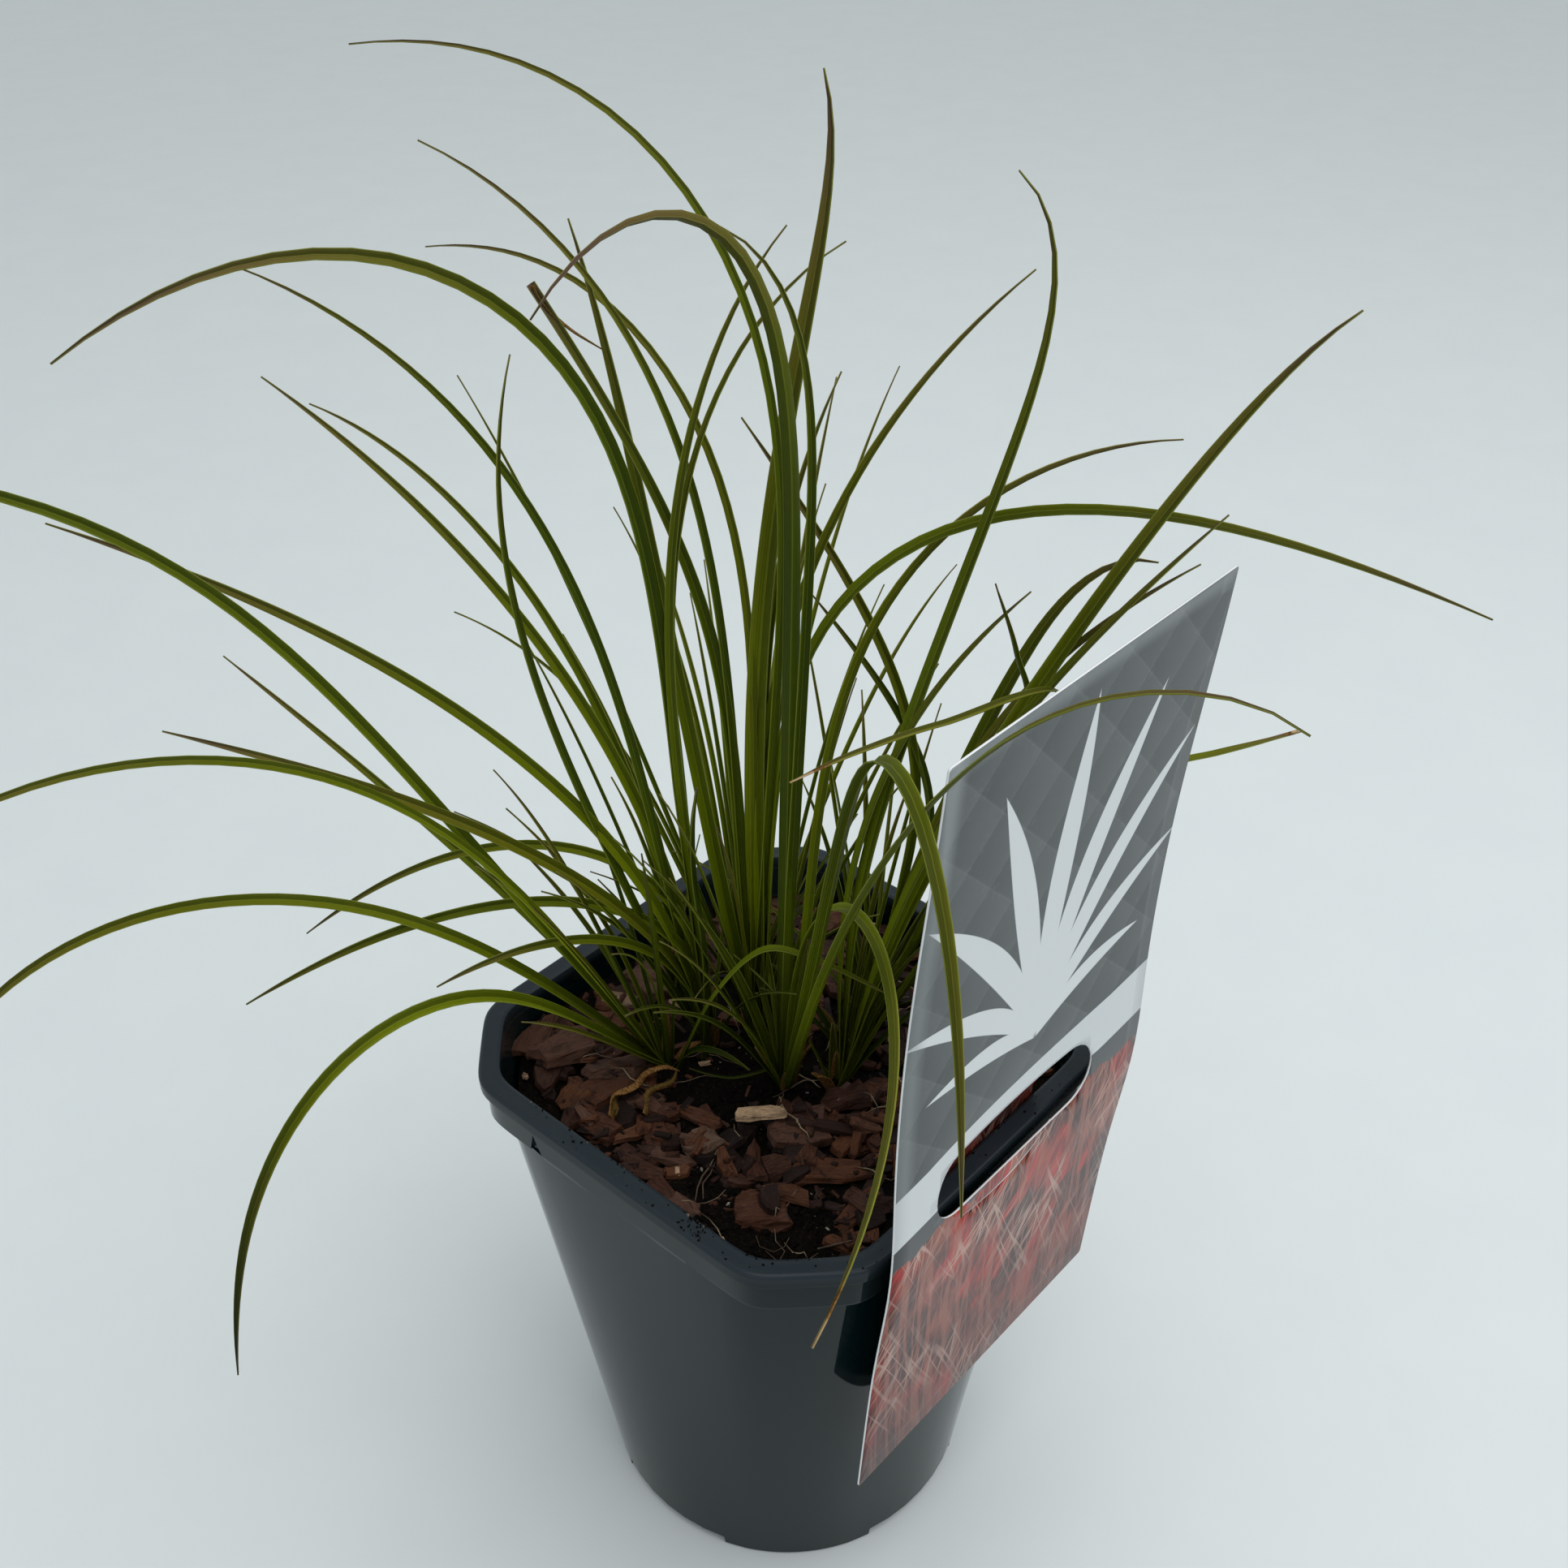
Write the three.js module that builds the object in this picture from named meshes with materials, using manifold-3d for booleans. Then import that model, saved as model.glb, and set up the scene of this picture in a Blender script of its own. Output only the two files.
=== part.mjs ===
// A carex sedge growing in a two-litre nursery pot, with its plant label hooked over the rim.
//
// Millimetres, +Z up. The origin is the middle of the pot's foot plane, the pot's flat sides
// face +-X and +-Y, and the label hangs on the -Y side.
//
// The pot, the potting soil, the bark mulch and the label are one solid each. The plant is a
// clump of tufts, and each tuft is one solid: its blades are fused to a short crown, and the
// crown stands in a plain hole in the soil.

import * as THREE from "three";
import { mergeVertices } from "three/addons/utils/BufferGeometryUtils.js";
import Module from "manifold-3d";

const wasm = await Module();
wasm.setup();

// ---------------------------------------------------------------- driving dimensions

const GAP = 0.35; // clearance between separate pieces that touch on the real thing

const potHeight = 170;
const rimHalfWidth = 72.5; // from the axis to a flat side of the rim
const rimCornerCut = 22; // how much of each side the corner chamfer takes
const rimLedge = 6; // width of the rim's flat top
const lipDrop = 4.5; // height of the outer lip
const skirtDrop = 14.5; // the stepped skirt under the lip ends this far below the rim's top
const skirtInset = 1.9; // the skirt stands back from the lip by this much
const wallCornerInset = 6.2; // and the wall stands back from the lip by this much at the corners
const potWall = 1.4;
const baseRadius = 57;
const footHeight = 4.2; // the wall's lower edge is raised by this much between the four feet
const footGapWidth = 42;
const centreDiscRadius = 24; // the middle of the floor reaches the ground again
const floorThickness = 1.6;
const drainHoleRadius = 3.5;
const drainRingRadius = 36;

const soilLevel = 155;
const mulchDepth = 1.6; // the layer of fine bark that the chips lie in

const crownDepth = 9; // how deep a tuft's crown stands in the soil
const crownRise = 8; // and how far it rises out of it
const bladeThickness = 0.75;

const cardThickness = 0.8;
const cardWidth = 109;
const cardAboveHinge = 160;
const cardBelowHinge = 88;
const cardLean = 3.4; // degrees, the top outwards and the bottom in towards the pot
const cardHinge = new THREE.Vector3(4.4, -75.4, 166);
const slotWidth = 68;
const slotMiddle = -3.3; // measured across the card from its own middle
const slotFrom = 8; // measured up the card from the hinge line
const slotTo = 27;
const tongueWidth = 54;

// ---------------------------------------------------------------- solids

/** A closed three.js geometry as a manifold-3d solid. */
function solid(geometry) {
  const bare = geometry.clone();
  bare.deleteAttribute("normal");
  bare.deleteAttribute("uv");
  const merged = mergeVertices(bare, 1e-4);
  return new wasm.Manifold(
    new wasm.Mesh({
      numProp: 3,
      vertProperties: merged.attributes.position.array,
      triVerts: new Uint32Array(merged.index.array),
    }),
  );
}

/** A manifold-3d solid as a named mesh. */
function piece(name, body, material) {
  const { vertProperties, triVerts } = body.getMesh();
  const geometry = new THREE.BufferGeometry();
  geometry.setAttribute("position", new THREE.BufferAttribute(vertProperties, 3));
  geometry.setIndex(new THREE.BufferAttribute(triVerts, 1));
  geometry.computeVertexNormals();
  const mesh = new THREE.Mesh(geometry, material);
  mesh.name = name;
  return mesh;
}

const union = (bodies) => bodies.reduce((joined, body) => joined.add(body));

/**
 * Joins rings of points, each a list of the same length, into a closed skin. The first ring is
 * closed by a fan to its middle point, and the last by a fan to the tip, or to its own middle.
 */
function loft(rings, tip) {
  const count = rings[0].length;
  const points = rings.flat();
  const faces = [];
  for (let row = 0; row + 1 < rings.length; row++)
    for (let i = 0; i < count; i++) {
      const a = row * count + i;
      const b = row * count + ((i + 1) % count);
      faces.push(a, b, b + count, a, b + count, a + count);
    }
  const middle = (ring) =>
    ring.reduce((sum, point) => sum.add(point), new THREE.Vector3()).divideScalar(count);
  const fan = (centre, offset, turned) => {
    const peak = points.push(centre) - 1;
    for (let i = 0; i < count; i++) {
      const a = offset + i;
      const b = offset + ((i + 1) % count);
      faces.push(peak, turned ? b : a, turned ? a : b);
    }
  };
  fan(middle(rings[0]), 0, true);
  fan(tip ?? middle(rings.at(-1)), (rings.length - 1) * count, false);
  const geometry = new THREE.BufferGeometry().setFromPoints(points);
  geometry.setIndex(faces);
  return solid(geometry);
}

/** An upright cylinder from z = bottom to z = top. */
function cylinder(x, y, radiusBottom, radiusTop, bottom, top, sides) {
  const geometry = new THREE.CylinderGeometry(radiusTop, radiusBottom, top - bottom, sides);
  geometry.rotateX(Math.PI / 2);
  geometry.translate(x, y, (top + bottom) / 2);
  return solid(geometry);
}

function box(sizeX, sizeY, sizeZ, x, y, z, turn = 0) {
  const geometry = new THREE.BoxGeometry(sizeX, sizeY, sizeZ);
  geometry.translate(x, y, z);
  geometry.rotateZ(turn);
  return solid(geometry);
}

/** The same stream of numbers from 0 to 1 on every run. */
function seededRandom(seed) {
  let state = seed;
  return () => {
    state = (Math.imul(state, 1664525) + 1013904223) >>> 0;
    return state / 4294967296;
  };
}

// ---------------------------------------------------------------- the pot's cross-sections

const degrees = Math.PI / 180;
// Directions of the points on each quarter of a section, closest where the corners turn.
const quarterAngles = [0, 22, 32, 37, 45, 53, 58, 68];
const sectionAngles = [0, 90, 180, 270].flatMap((start) =>
  quarterAngles.map((angle) => (start + angle) * degrees),
);

/** Distance from the axis to the middle of a corner chamfer of the rim. */
const rimCornerDistance = (2 * rimHalfWidth - rimCornerCut) / Math.SQRT2;

/**
 * Radius of a rounded octagon: its flat sides lie at one distance from the axis and its
 * corner chamfers at another. A low crispness rounds it towards a circle.
 */
function octagonRadius(angle, flat, corner, crispness) {
  let sum = 0;
  for (let side = 0; side < 8; side++) {
    const facing = Math.cos(angle - side * 45 * degrees);
    if (facing > 0) sum += (facing / (side % 2 ? corner : flat)) ** crispness;
  }
  return sum ** (-1 / crispness);
}

const rimCrispness = 30;
const wallCrispness = 14;
const wallTop = potHeight - skirtDrop;
const wallLevels = [55, 105]; // heights of the sections inside the wall

/** Outer radius of the conical wall, a circle at the foot and a soft octagon under the skirt. */
function wallRadius(angle, z) {
  const share = z / wallTop;
  const top = octagonRadius(
    angle,
    rimHalfWidth - skirtInset - 0.2,
    rimCornerDistance - wallCornerInset,
    wallCrispness,
  );
  return baseRadius + (top - baseRadius) * share;
}

const ringAt = (z, radiusAt) =>
  sectionAngles.map((angle) => {
    const radius = radiusAt(angle);
    return new THREE.Vector3(radius * Math.cos(angle), radius * Math.sin(angle), z);
  });

const roundRing = (radius, z) => ringAt(z, () => radius);
const rimRing = (inset, z) =>
  ringAt(z, (angle) =>
    octagonRadius(angle, rimHalfWidth - inset, rimCornerDistance - inset, rimCrispness),
  );
const wallRing = (inset, z) => ringAt(z, (angle) => wallRadius(angle, z) - inset);

// ---------------------------------------------------------------- the pot

function makePot() {
  const underside = footHeight;
  const floorTop = underside + floorThickness;
  const footWidth = 7;
  const edge = 0.6; // small chamfers at the foot and on the rim
  const body = loft([
    roundRing(centreDiscRadius - 2, 0),
    roundRing(centreDiscRadius, 0),
    roundRing(centreDiscRadius + 2, underside),
    roundRing(baseRadius - footWidth - 1, underside),
    roundRing(baseRadius - footWidth, 0),
    roundRing(baseRadius - edge, 0),
    wallRing(0, edge),
    wallRing(0, 80),
    wallRing(0, wallTop),
    rimRing(skirtInset, wallTop),
    rimRing(skirtInset, potHeight - lipDrop),
    rimRing(0, potHeight - lipDrop),
    rimRing(0, potHeight - 1.2),
    rimRing(1.2, potHeight),
    rimRing(rimLedge - edge, potHeight),
    rimRing(rimLedge, potHeight - edge),
    rimRing(rimLedge, potHeight - lipDrop),
    ...[wallTop - 3, ...wallLevels.toReversed(), floorTop].map((z) => wallRing(potWall, z)),
    roundRing(centreDiscRadius, floorTop),
    roundRing(centreDiscRadius - 2, floorThickness),
  ]);
  const cuts = [];
  for (let side = 0; side < 4; side++) {
    const turn = side * 90 * degrees;
    cuts.push(box(20, footGapWidth, footHeight + 1, baseRadius, 0, (footHeight - 1) / 2, turn));
  }
  const drainHoles = 8;
  for (let hole = 0; hole < drainHoles; hole++) {
    const turn = ((hole + 0.5) / drainHoles) * 2 * Math.PI;
    const x = drainRingRadius * Math.cos(turn);
    const y = drainRingRadius * Math.sin(turn);
    cuts.push(cylinder(x, y, drainHoleRadius, drainHoleRadius, -1, floorTop + 1, 10));
  }
  return body.subtract(union(cuts));
}

// ---------------------------------------------------------------- soil and bark

const soilClearance = 0.85; // the root ball has shrunk a little from the wall
const soilInset = 3.2; // the soil's surface stays this far inside the wall's outer face
const mulchInset = 4; // and the bark a little further

/** Height of the soil's gently uneven surface, which rises a little towards the wall. */
const soilHeight = (x, y) =>
  soilLevel + 0.8 * Math.sin(x / 13 + 1) * Math.cos(y / 17) + 0.00022 * (x * x + y * y);

/** Rings on the soil's surface, from the wall inwards, lifted by some amount. */
const surfaceRings = (lift) =>
  [1, 0.7, 0.35].map((share) =>
    sectionAngles.map((angle) => {
      const radius = (wallRadius(angle, soilLevel) - soilInset) * share;
      const x = radius * Math.cos(angle);
      const y = radius * Math.sin(angle);
      return new THREE.Vector3(x, y, soilHeight(x, y) + lift);
    }),
  );

/** A plain hole for each tuft's crown, wider than the crown by some amount. */
const crownHoles = (wider, sides) =>
  union(
    tufts.map(({ x, y, radius }) => {
      const bottom = soilLevel - crownDepth - GAP;
      const toCorner = (radius + wider) / Math.cos(Math.PI / sides);
      return cylinder(x, y, toCorner, toCorner, bottom, potHeight + 10, sides);
    }),
  );

function makeSoil() {
  const floorTop = footHeight + floorThickness + GAP;
  const body = loft([
    roundRing(centreDiscRadius - 3, floorThickness + GAP),
    roundRing(centreDiscRadius - 1, floorTop),
    wallRing(potWall + soilClearance, floorTop),
    ...[...wallLevels, wallTop - 5].map((z) => wallRing(potWall + soilClearance, z)),
    ...surfaceRings(0),
  ]);
  return body.subtract(crownHoles(GAP, 8));
}

// Places where the mulch has been scraped aside and the soil shows: x, y and radius.
const barePatches = [
  [-17, 7, 9],
  [-49, -46, 8],
  [26, 34, 7],
];

// The largest chips of bark: x, y, long side, short side and turn.
const largeChips = [
  [-24, -11, 16, 6, -48],
  [-4, -38, 31, 8, -40],
  [-46, 12, 24, 11, 65],
  [34, -34, 27, 10, 12],
  [44, 22, 25, 9, 110],
  [-8, 52, 28, 9, 20],
  [-52, -22, 22, 8, -75],
  [10, -56, 24, 7, 8],
];

/** One bark chip, a slab with four uneven corners, lying on the mulch at x and y. */
function barkChip(random, x, y, long, short, turn) {
  const uneven = 0.16;
  const corner = (alongShare, acrossShare) => [
    (alongShare / 2 + (random() - 0.5) * uneven) * long,
    (acrossShare / 2 + (random() - 0.5) * uneven) * short,
  ];
  const outline = new THREE.Shape();
  outline.moveTo(...corner(-1, -0.7));
  outline.lineTo(...corner(0.8, -1));
  outline.lineTo(...corner(1, 0.7));
  outline.lineTo(...corner(-0.8, 1));
  const thick = 2.2 + 1.4 * random();
  const geometry = new THREE.ExtrudeGeometry(outline, { depth: thick, bevelEnabled: false });
  geometry.translate(0, 0, -thick / 2);
  const steepest = 12 / long; // a long chip lies flatter than a short one
  geometry.rotateX((random() - 0.5) * 0.5);
  geometry.rotateY((random() - 0.5) * steepest);
  geometry.rotateZ(turn);
  geometry.translate(x, y, soilHeight(x, y) + GAP + mulchDepth + 0.2 + 1.2 * random());
  return solid(geometry);
}

function makeMulch() {
  const random = seededRandom(11);
  const chips = largeChips.map(([x, y, long, short, turn]) =>
    barkChip(random, x, y, long, short, turn * degrees),
  );
  const smallChips = 30;
  const goldenTurn = 137.5 * degrees; // spreads the chips evenly over the surface
  for (let number = 0; number < smallChips; number++) {
    const around = number * goldenTurn + (random() - 0.5) * 0.5;
    const outward = Math.sqrt((number + 0.5) / smallChips) * 0.97;
    const reach = (wallRadius(around, soilLevel) - mulchInset - 2) * outward;
    const long = 17 + 12 * random() ** 2;
    const short = long * (0.35 + 0.3 * random());
    const turn = random() * 180 * degrees;
    chips.push(
      barkChip(random, reach * Math.cos(around), reach * Math.sin(around), long, short, turn),
    );
  }
  const lower = surfaceRings(GAP);
  const upper = surfaceRings(GAP + mulchDepth);
  const layer = loft([...lower.toReversed(), ...upper]);
  const below = loft([wallRing(-5, soilLevel - 40), ...lower]);
  const room = loft([wallRing(mulchInset, soilLevel - 5), wallRing(mulchInset, potHeight)]);
  const bare = barePatches.map(([x, y, radius]) =>
    cylinder(x, y, radius, radius, soilLevel - 10, potHeight, 6),
  );
  const tongueX = cardHinge.x + slotMiddle;
  const tongueRoom = box(tongueWidth + 5, 9, 30, tongueX, -rimHalfWidth + 6.5, soilLevel);
  const clearOfCrowns = 3;
  const bark = union([layer, ...chips])
    .intersect(room)
    .subtract(union([below, tongueRoom, crownHoles(clearOfCrowns, 6), ...bare]));
  const largest = (one, other) => (other.volume() > one.volume() ? other : one);
  return bark.decompose().reduce(largest);
}

// ---------------------------------------------------------------- the label

/** The outline of a strip of even thickness along a path. */
function strip(path, thickness) {
  const sideways = path.map((point, i) => {
    const before = path[Math.max(i - 1, 0)];
    const after = path[Math.min(i + 1, path.length - 1)];
    const along = after.clone().sub(before).normalize();
    return new THREE.Vector2(-along.y, along.x).multiplyScalar(thickness / 2);
  });
  const left = path.map((point, i) => point.clone().add(sideways[i]));
  const right = path.map((point, i) => point.clone().sub(sideways[i]));
  return new THREE.Shape([...left, ...right.toReversed()]);
}

function makeLabel() {
  const half = cardWidth / 2;
  const outline = new THREE.Shape([
    new THREE.Vector2(-half, -cardBelowHinge),
    new THREE.Vector2(half, -cardBelowHinge),
    new THREE.Vector2(half, cardAboveHinge),
    new THREE.Vector2(-half, cardAboveHinge),
  ]);
  const endRadius = (slotTo - slotFrom) / 2;
  const endMiddle = slotWidth / 2 - endRadius;
  const slot = new THREE.Path();
  const quarter = Math.PI / 2;
  slot.absarc(slotMiddle + endMiddle, slotFrom + endRadius, endRadius, -quarter, quarter);
  slot.absarc(slotMiddle - endMiddle, slotFrom + endRadius, endRadius, quarter, 3 * quarter);
  outline.holes.push(slot);
  const card = new THREE.ExtrudeGeometry(outline, {
    depth: cardThickness,
    bevelEnabled: false,
    curveSegments: 6,
  });
  card.rotateX(quarter); // its back is now at y = 0 and its face towards -Y
  card.rotateX(cardLean * degrees);
  card.translate(cardHinge.x, cardHinge.y, cardHinge.z);

  // The tongue starts at the slot's upper edge, bends in over the rim and hangs inside it.
  const lean = cardLean * degrees;
  const inCard = slotTo + 0.9;
  const rimInside = -(rimHalfWidth - rimLedge) + GAP + cardThickness / 2;
  const path = [
    new THREE.Vector2(
      cardHinge.y - inCard * Math.sin(lean) - cardThickness / 2,
      cardHinge.z + inCard * Math.cos(lean),
    ),
    new THREE.Vector2(rimInside, potHeight + 1.4),
    new THREE.Vector2(rimInside + 0.4, soilLevel + 4),
  ];
  const tongue = new THREE.ExtrudeGeometry(strip(path, cardThickness), {
    depth: tongueWidth,
    bevelEnabled: false,
  });
  tongue.rotateX(quarter);
  tongue.rotateZ(quarter);
  tongue.translate(cardHinge.x + slotMiddle - tongueWidth / 2, 0, 0);
  return solid(card).add(solid(tongue));
}

// ---------------------------------------------------------------- the plant

/**
 * A blade: its heading from +X towards +Y, its length, its lean from upright at the base and at
 * the tip, where along it the bend comes, how sharp the bend is, and its width. A sweep turns
 * its heading towards the tip and a flick bends the very tip. Angles are in degrees.
 */
const blade = (heading, length, baseLean, tipLean, bendAt, sharpness, width, more = {}) => ({
  heading,
  length,
  baseLean,
  tipLean,
  bendAt,
  sharpness,
  width,
  sweep: 0,
  flick: 0,
  ...more,
});

/** Blades scattered between two headings, lengths and leans, to fill a tuft. */
const scatter = (count, headings, lengths, leans) => ({ count, headings, lengths, leans });

// Each tuft has its crown's place and radius, its long blades, and what fills it.
const tufts = [
  {
    name: "tuft_middle",
    x: 4,
    y: 15,
    radius: 5,
    blades: [
      blade(103, 348, -4, 101, 0.77, 7, 3.2),
      blade(117, 279, 2, 70, 1.1, 4.7, 3.0),
      blade(324, 273, -2, 17, 1, 2.4, 4.2, { flick: -34 }),
      blade(87, 306, -1, 106, 0.7, 6.5, 2.6),
      blade(119, 233, 2, 32, 0.67, 5.6, 3.6),
      blade(103, 239, 10, 19, 1.25, 8.5, 3.0),
      blade(292, 312, 2, 107, 0.6, 5, 3.2),
      blade(354, 204, 0, 36, 1.13, 4.6, 2.4),
      blade(328, 245, -2, 55, 1.27, 2.6, 2.6),
    ],
    fill: [
      scatter(6, [-20, 110], [130, 210], [8, 26]),
      scatter(4, [150, 200], [110, 180], [6, 24]),
    ],
  },
  {
    name: "tuft_middle_left",
    x: -6,
    y: 25,
    radius: 5,
    blades: [
      blade(162, 335, 3, 120, 0.83, 6, 3.6),
      blade(133, 264, 8, 68, 1.2, 3.8, 3.4),
      blade(112, 232, 4, 60, 1.6, 1.4, 3.2),
      blade(100, 228, 12, 85, 1.45, 2.5, 2.6),
      blade(147, 245, 4, 61, 1.2, 1.1, 3.4),
      blade(158, 201, 0, 58, 0.4, 1, 3.6),
      blade(147, 169, -6, 118, 0.44, 1.8, 3.0),
      blade(128, 175, 0, 132, 0.46, 3, 2.8),
      blade(163, 112, 6, 103, 0.9, 1.7, 3.0),
      blade(353, 246, -6, 55, 2, 3.8, 2.6),
      blade(339, 249, -5, 70, 1.55, 4.3, 2.4),
      blade(147, 222, 18, -17, 1.4, 3.8, 2.6),
    ],
    fill: [scatter(6, [60, 190], [110, 200], [8, 30])],
  },
  {
    name: "tuft_left",
    x: -21,
    y: 27,
    radius: 5,
    blades: [
      blade(150, 327, 27, 95, 0.77, 6.5, 3.4),
      blade(103, 176, 42, 64, 0.45, 1, 2.6),
      blade(166, 275, 24, 126, 1.2, 3, 3.4),
      blade(141, 259, 39, 157, 0.78, 2.7, 3.2),
      blade(173, 220, 38, 172, 0.55, 4.4, 3.6),
    ],
    fill: [scatter(7, [60, 200], [90, 180], [10, 40])],
  },
  {
    name: "tuft_back",
    x: 15,
    y: 30,
    radius: 5.5,
    blades: [],
    fill: [scatter(12, [0, 115], [150, 245], [8, 34])],
  },
  {
    name: "tuft_front",
    x: -5,
    y: -4,
    radius: 5,
    blades: [
      blade(182, 312, -1.5, 131, 0.9, 9.4, 3.6),
      blade(122, 252, -2.5, 71, 1.6, 12, 3.0),
      blade(325, 241, 2, 95, 0.84, 5.2, 2.6),
      blade(230, 285, 30, 76, 1.25, 7.5, 3.0, { sweep: 61, flick: 49 }),
      blade(235.5, 290, 21, 171, 0.7, 10.6, 4.0),
      blade(246, 236, 3.5, 121, 0.59, 2.4, 3.2, { sweep: -60 }),
    ],
    fill: [scatter(5, [90, 200], [90, 170], [6, 30])],
  },
  {
    name: "tuft_front_right",
    x: 4,
    y: -15,
    radius: 5,
    blades: [
      blade(301, 266, 1, 16, 0.3, 4, 3.6, { flick: -70 }),
      blade(296, 261, 10, 30, 0.65, 1.4, 4.4, { flick: 18 }),
      blade(287, 217, 9, 37, 0.78, 1.9, 3.0),
      blade(293.5, 178, -3, 40, 1.43, 2, 3.0),
    ],
    fill: [scatter(5, [270, 360], [90, 170], [6, 24])],
  },
  {
    name: "tuft_right",
    x: 17,
    y: -7,
    radius: 4.5,
    blades: [
      blade(296, 191, 13.5, 24, 1.23, 2.4, 3.2, { flick: 80 }),
      blade(283, 202, 14.5, 48, 0.87, 3.7, 2.8),
    ],
    fill: [scatter(6, [-60, 40], [90, 180], [10, 36])],
  },
  {
    name: "tuft_far_right",
    x: 31,
    y: -5,
    radius: 4.5,
    blades: [blade(137, 204, -14, 33, 0.52, 4.5, 3.0), blade(132, 157, -16, 36, 0.56, 5.4, 2.8)],
    fill: [scatter(7, [-50, 80], [90, 190], [10, 40])],
  },
];

const bladeSteps = 24; // steps in which a blade's curve is worked out
const stepsPerSection = (length) => (length > 225 ? 2 : length > 165 ? 3 : 4);
const bladeOffset = 2; // a blade starts this far out from the middle of its crown

/** The widest part of a blade is its middle; it narrows a little at the foot and to a point. */
const bladeWidth = ({ width }, along) =>
  width * (0.72 + 0.28 * Math.min(1, 6 * along)) * Math.max(0, 1 - along ** 2.4) ** 0.8;

/** Sections along a blade, each with its place, its direction and its width. */
function bladeSections(tuft, shape) {
  const turn = shape.heading * degrees;
  const { length, baseLean, tipLean, bendAt, sharpness, sweep, flick } = shape;
  const place = new THREE.Vector3(
    tuft.x + bladeOffset * Math.cos(turn),
    tuft.y + bladeOffset * Math.sin(turn),
    soilLevel,
  );
  const sections = [];
  const bend = bendAt ** sharpness;
  for (let step = 0; step <= bladeSteps; step++) {
    const along = (step + 0.5) / bladeSteps;
    const share = (along ** sharpness * (1 + bend)) / (along ** sharpness + bend);
    const lean = (baseLean + (tipLean - baseLean) * share + flick * along ** 14) * degrees;
    const facing = turn + sweep * along ** 2.5 * degrees;
    const direction = new THREE.Vector3(
      Math.sin(lean) * Math.cos(facing),
      Math.sin(lean) * Math.sin(facing),
      Math.cos(lean),
    );
    if (step % stepsPerSection(length) === 0) {
      const across = new THREE.Vector3(-Math.sin(facing), Math.cos(facing), 0);
      const width = bladeWidth(shape, step / bladeSteps);
      sections.push({ place: place.clone(), direction, across, width });
    }
    place.addScaledVector(direction, length / bladeSteps);
  }
  return sections;
}

/** A blade as a solid: a shallow channel, open to the upper side, that ends in a point. */
function bladeSolid(sections) {
  const rings = sections.slice(0, -1).map(({ place, direction, across, width }) => {
    const up = direction.clone().cross(across);
    const keel = Math.max(0.35, 0.16 * width);
    const at = (sideways, upwards) =>
      place.clone().addScaledVector(across, sideways).addScaledVector(up, upwards);
    return [
      at(width / 2, 0.2 * width),
      at(0, bladeThickness - keel),
      at(-width / 2, 0.2 * width),
      at(0, -keel),
    ];
  });
  return loft(rings, sections.at(-1).place);
}

/** Shortest distance between the stretches a-b and c-d. */
function stretchDistance(a, b, c, d) {
  const u = b.clone().sub(a);
  const v = d.clone().sub(c);
  const w = a.clone().sub(c);
  const uu = u.dot(u);
  const uv = u.dot(v);
  const vv = v.dot(v);
  const limit = (value) => Math.min(1, Math.max(0, value));
  const spread = uu * vv - uv * uv;
  const first = limit(spread > 1e-9 ? (uv * v.dot(w) - vv * u.dot(w)) / spread : 0);
  const onSecond = limit((v.dot(w) + first * uv) / vv);
  const onFirst = limit((onSecond * uv - u.dot(w)) / uu);
  return w.addScaledVector(u, onFirst).addScaledVector(v, -onSecond).length();
}

const bladeClearance = 0.5;

/** Whether two blades stay clear of each other. */
function bladesClear(one, other) {
  for (let i = 0; i + 1 < one.length; i++)
    for (let k = 0; k + 1 < other.length; k++) {
      const room = (one[i].width + other[k].width) / 2 + bladeClearance;
      const [a, b, c, d] = [one[i], one[i + 1], other[k], other[k + 1]].map(({ place }) => place);
      if (stretchDistance(a, b, c, d) < room) return false;
    }
  return true;
}

/** Whether a blade stays clear of the label and of the pot's rim. */
function clearOfHolder(sections) {
  const room = 3;
  const samples = 12;
  const lean = cardLean * degrees;
  for (let i = 0; i + 1 < sections.length; i++)
    for (let k = 0; k < samples; k++) {
      const { x, y, z } = sections[i].place.clone().lerp(sections[i + 1].place, k / samples);
      const up = (z - cardHinge.z) * Math.cos(lean) - (y - cardHinge.y) * Math.sin(lean);
      const outward = -(y - cardHinge.y) * Math.cos(lean) - (z - cardHinge.z) * Math.sin(lean);
      const onCard = Math.abs(x - cardHinge.x) < cardWidth / 2 + room;
      if (onCard && up > -cardBelowHinge - room && up < cardAboveHinge + room)
        if (outward > -room && outward < cardThickness + room) return false;
      const flats = Math.max(Math.abs(x), Math.abs(y));
      const corners = (Math.abs(x) + Math.abs(y)) / Math.SQRT2;
      const beyondRim = Math.max(flats - rimHalfWidth, corners - rimCornerDistance);
      if (z < potHeight + room && beyondRim > -rimLedge - room && beyondRim < room) return false;
    }
  return true;
}

// Small changes of a blade's heading and lean, the smallest first.
const nudges = [];
for (let turn = -12; turn <= 12; turn += 1.5)
  for (let tilt = -6; tilt <= 6; tilt += 1.5) nudges.push({ turn, tilt });
const nudgeSize = ({ turn, tilt }) => turn ** 2 + 2 * tilt ** 2;
nudges.sort((one, other) => nudgeSize(one) - nudgeSize(other));

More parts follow.
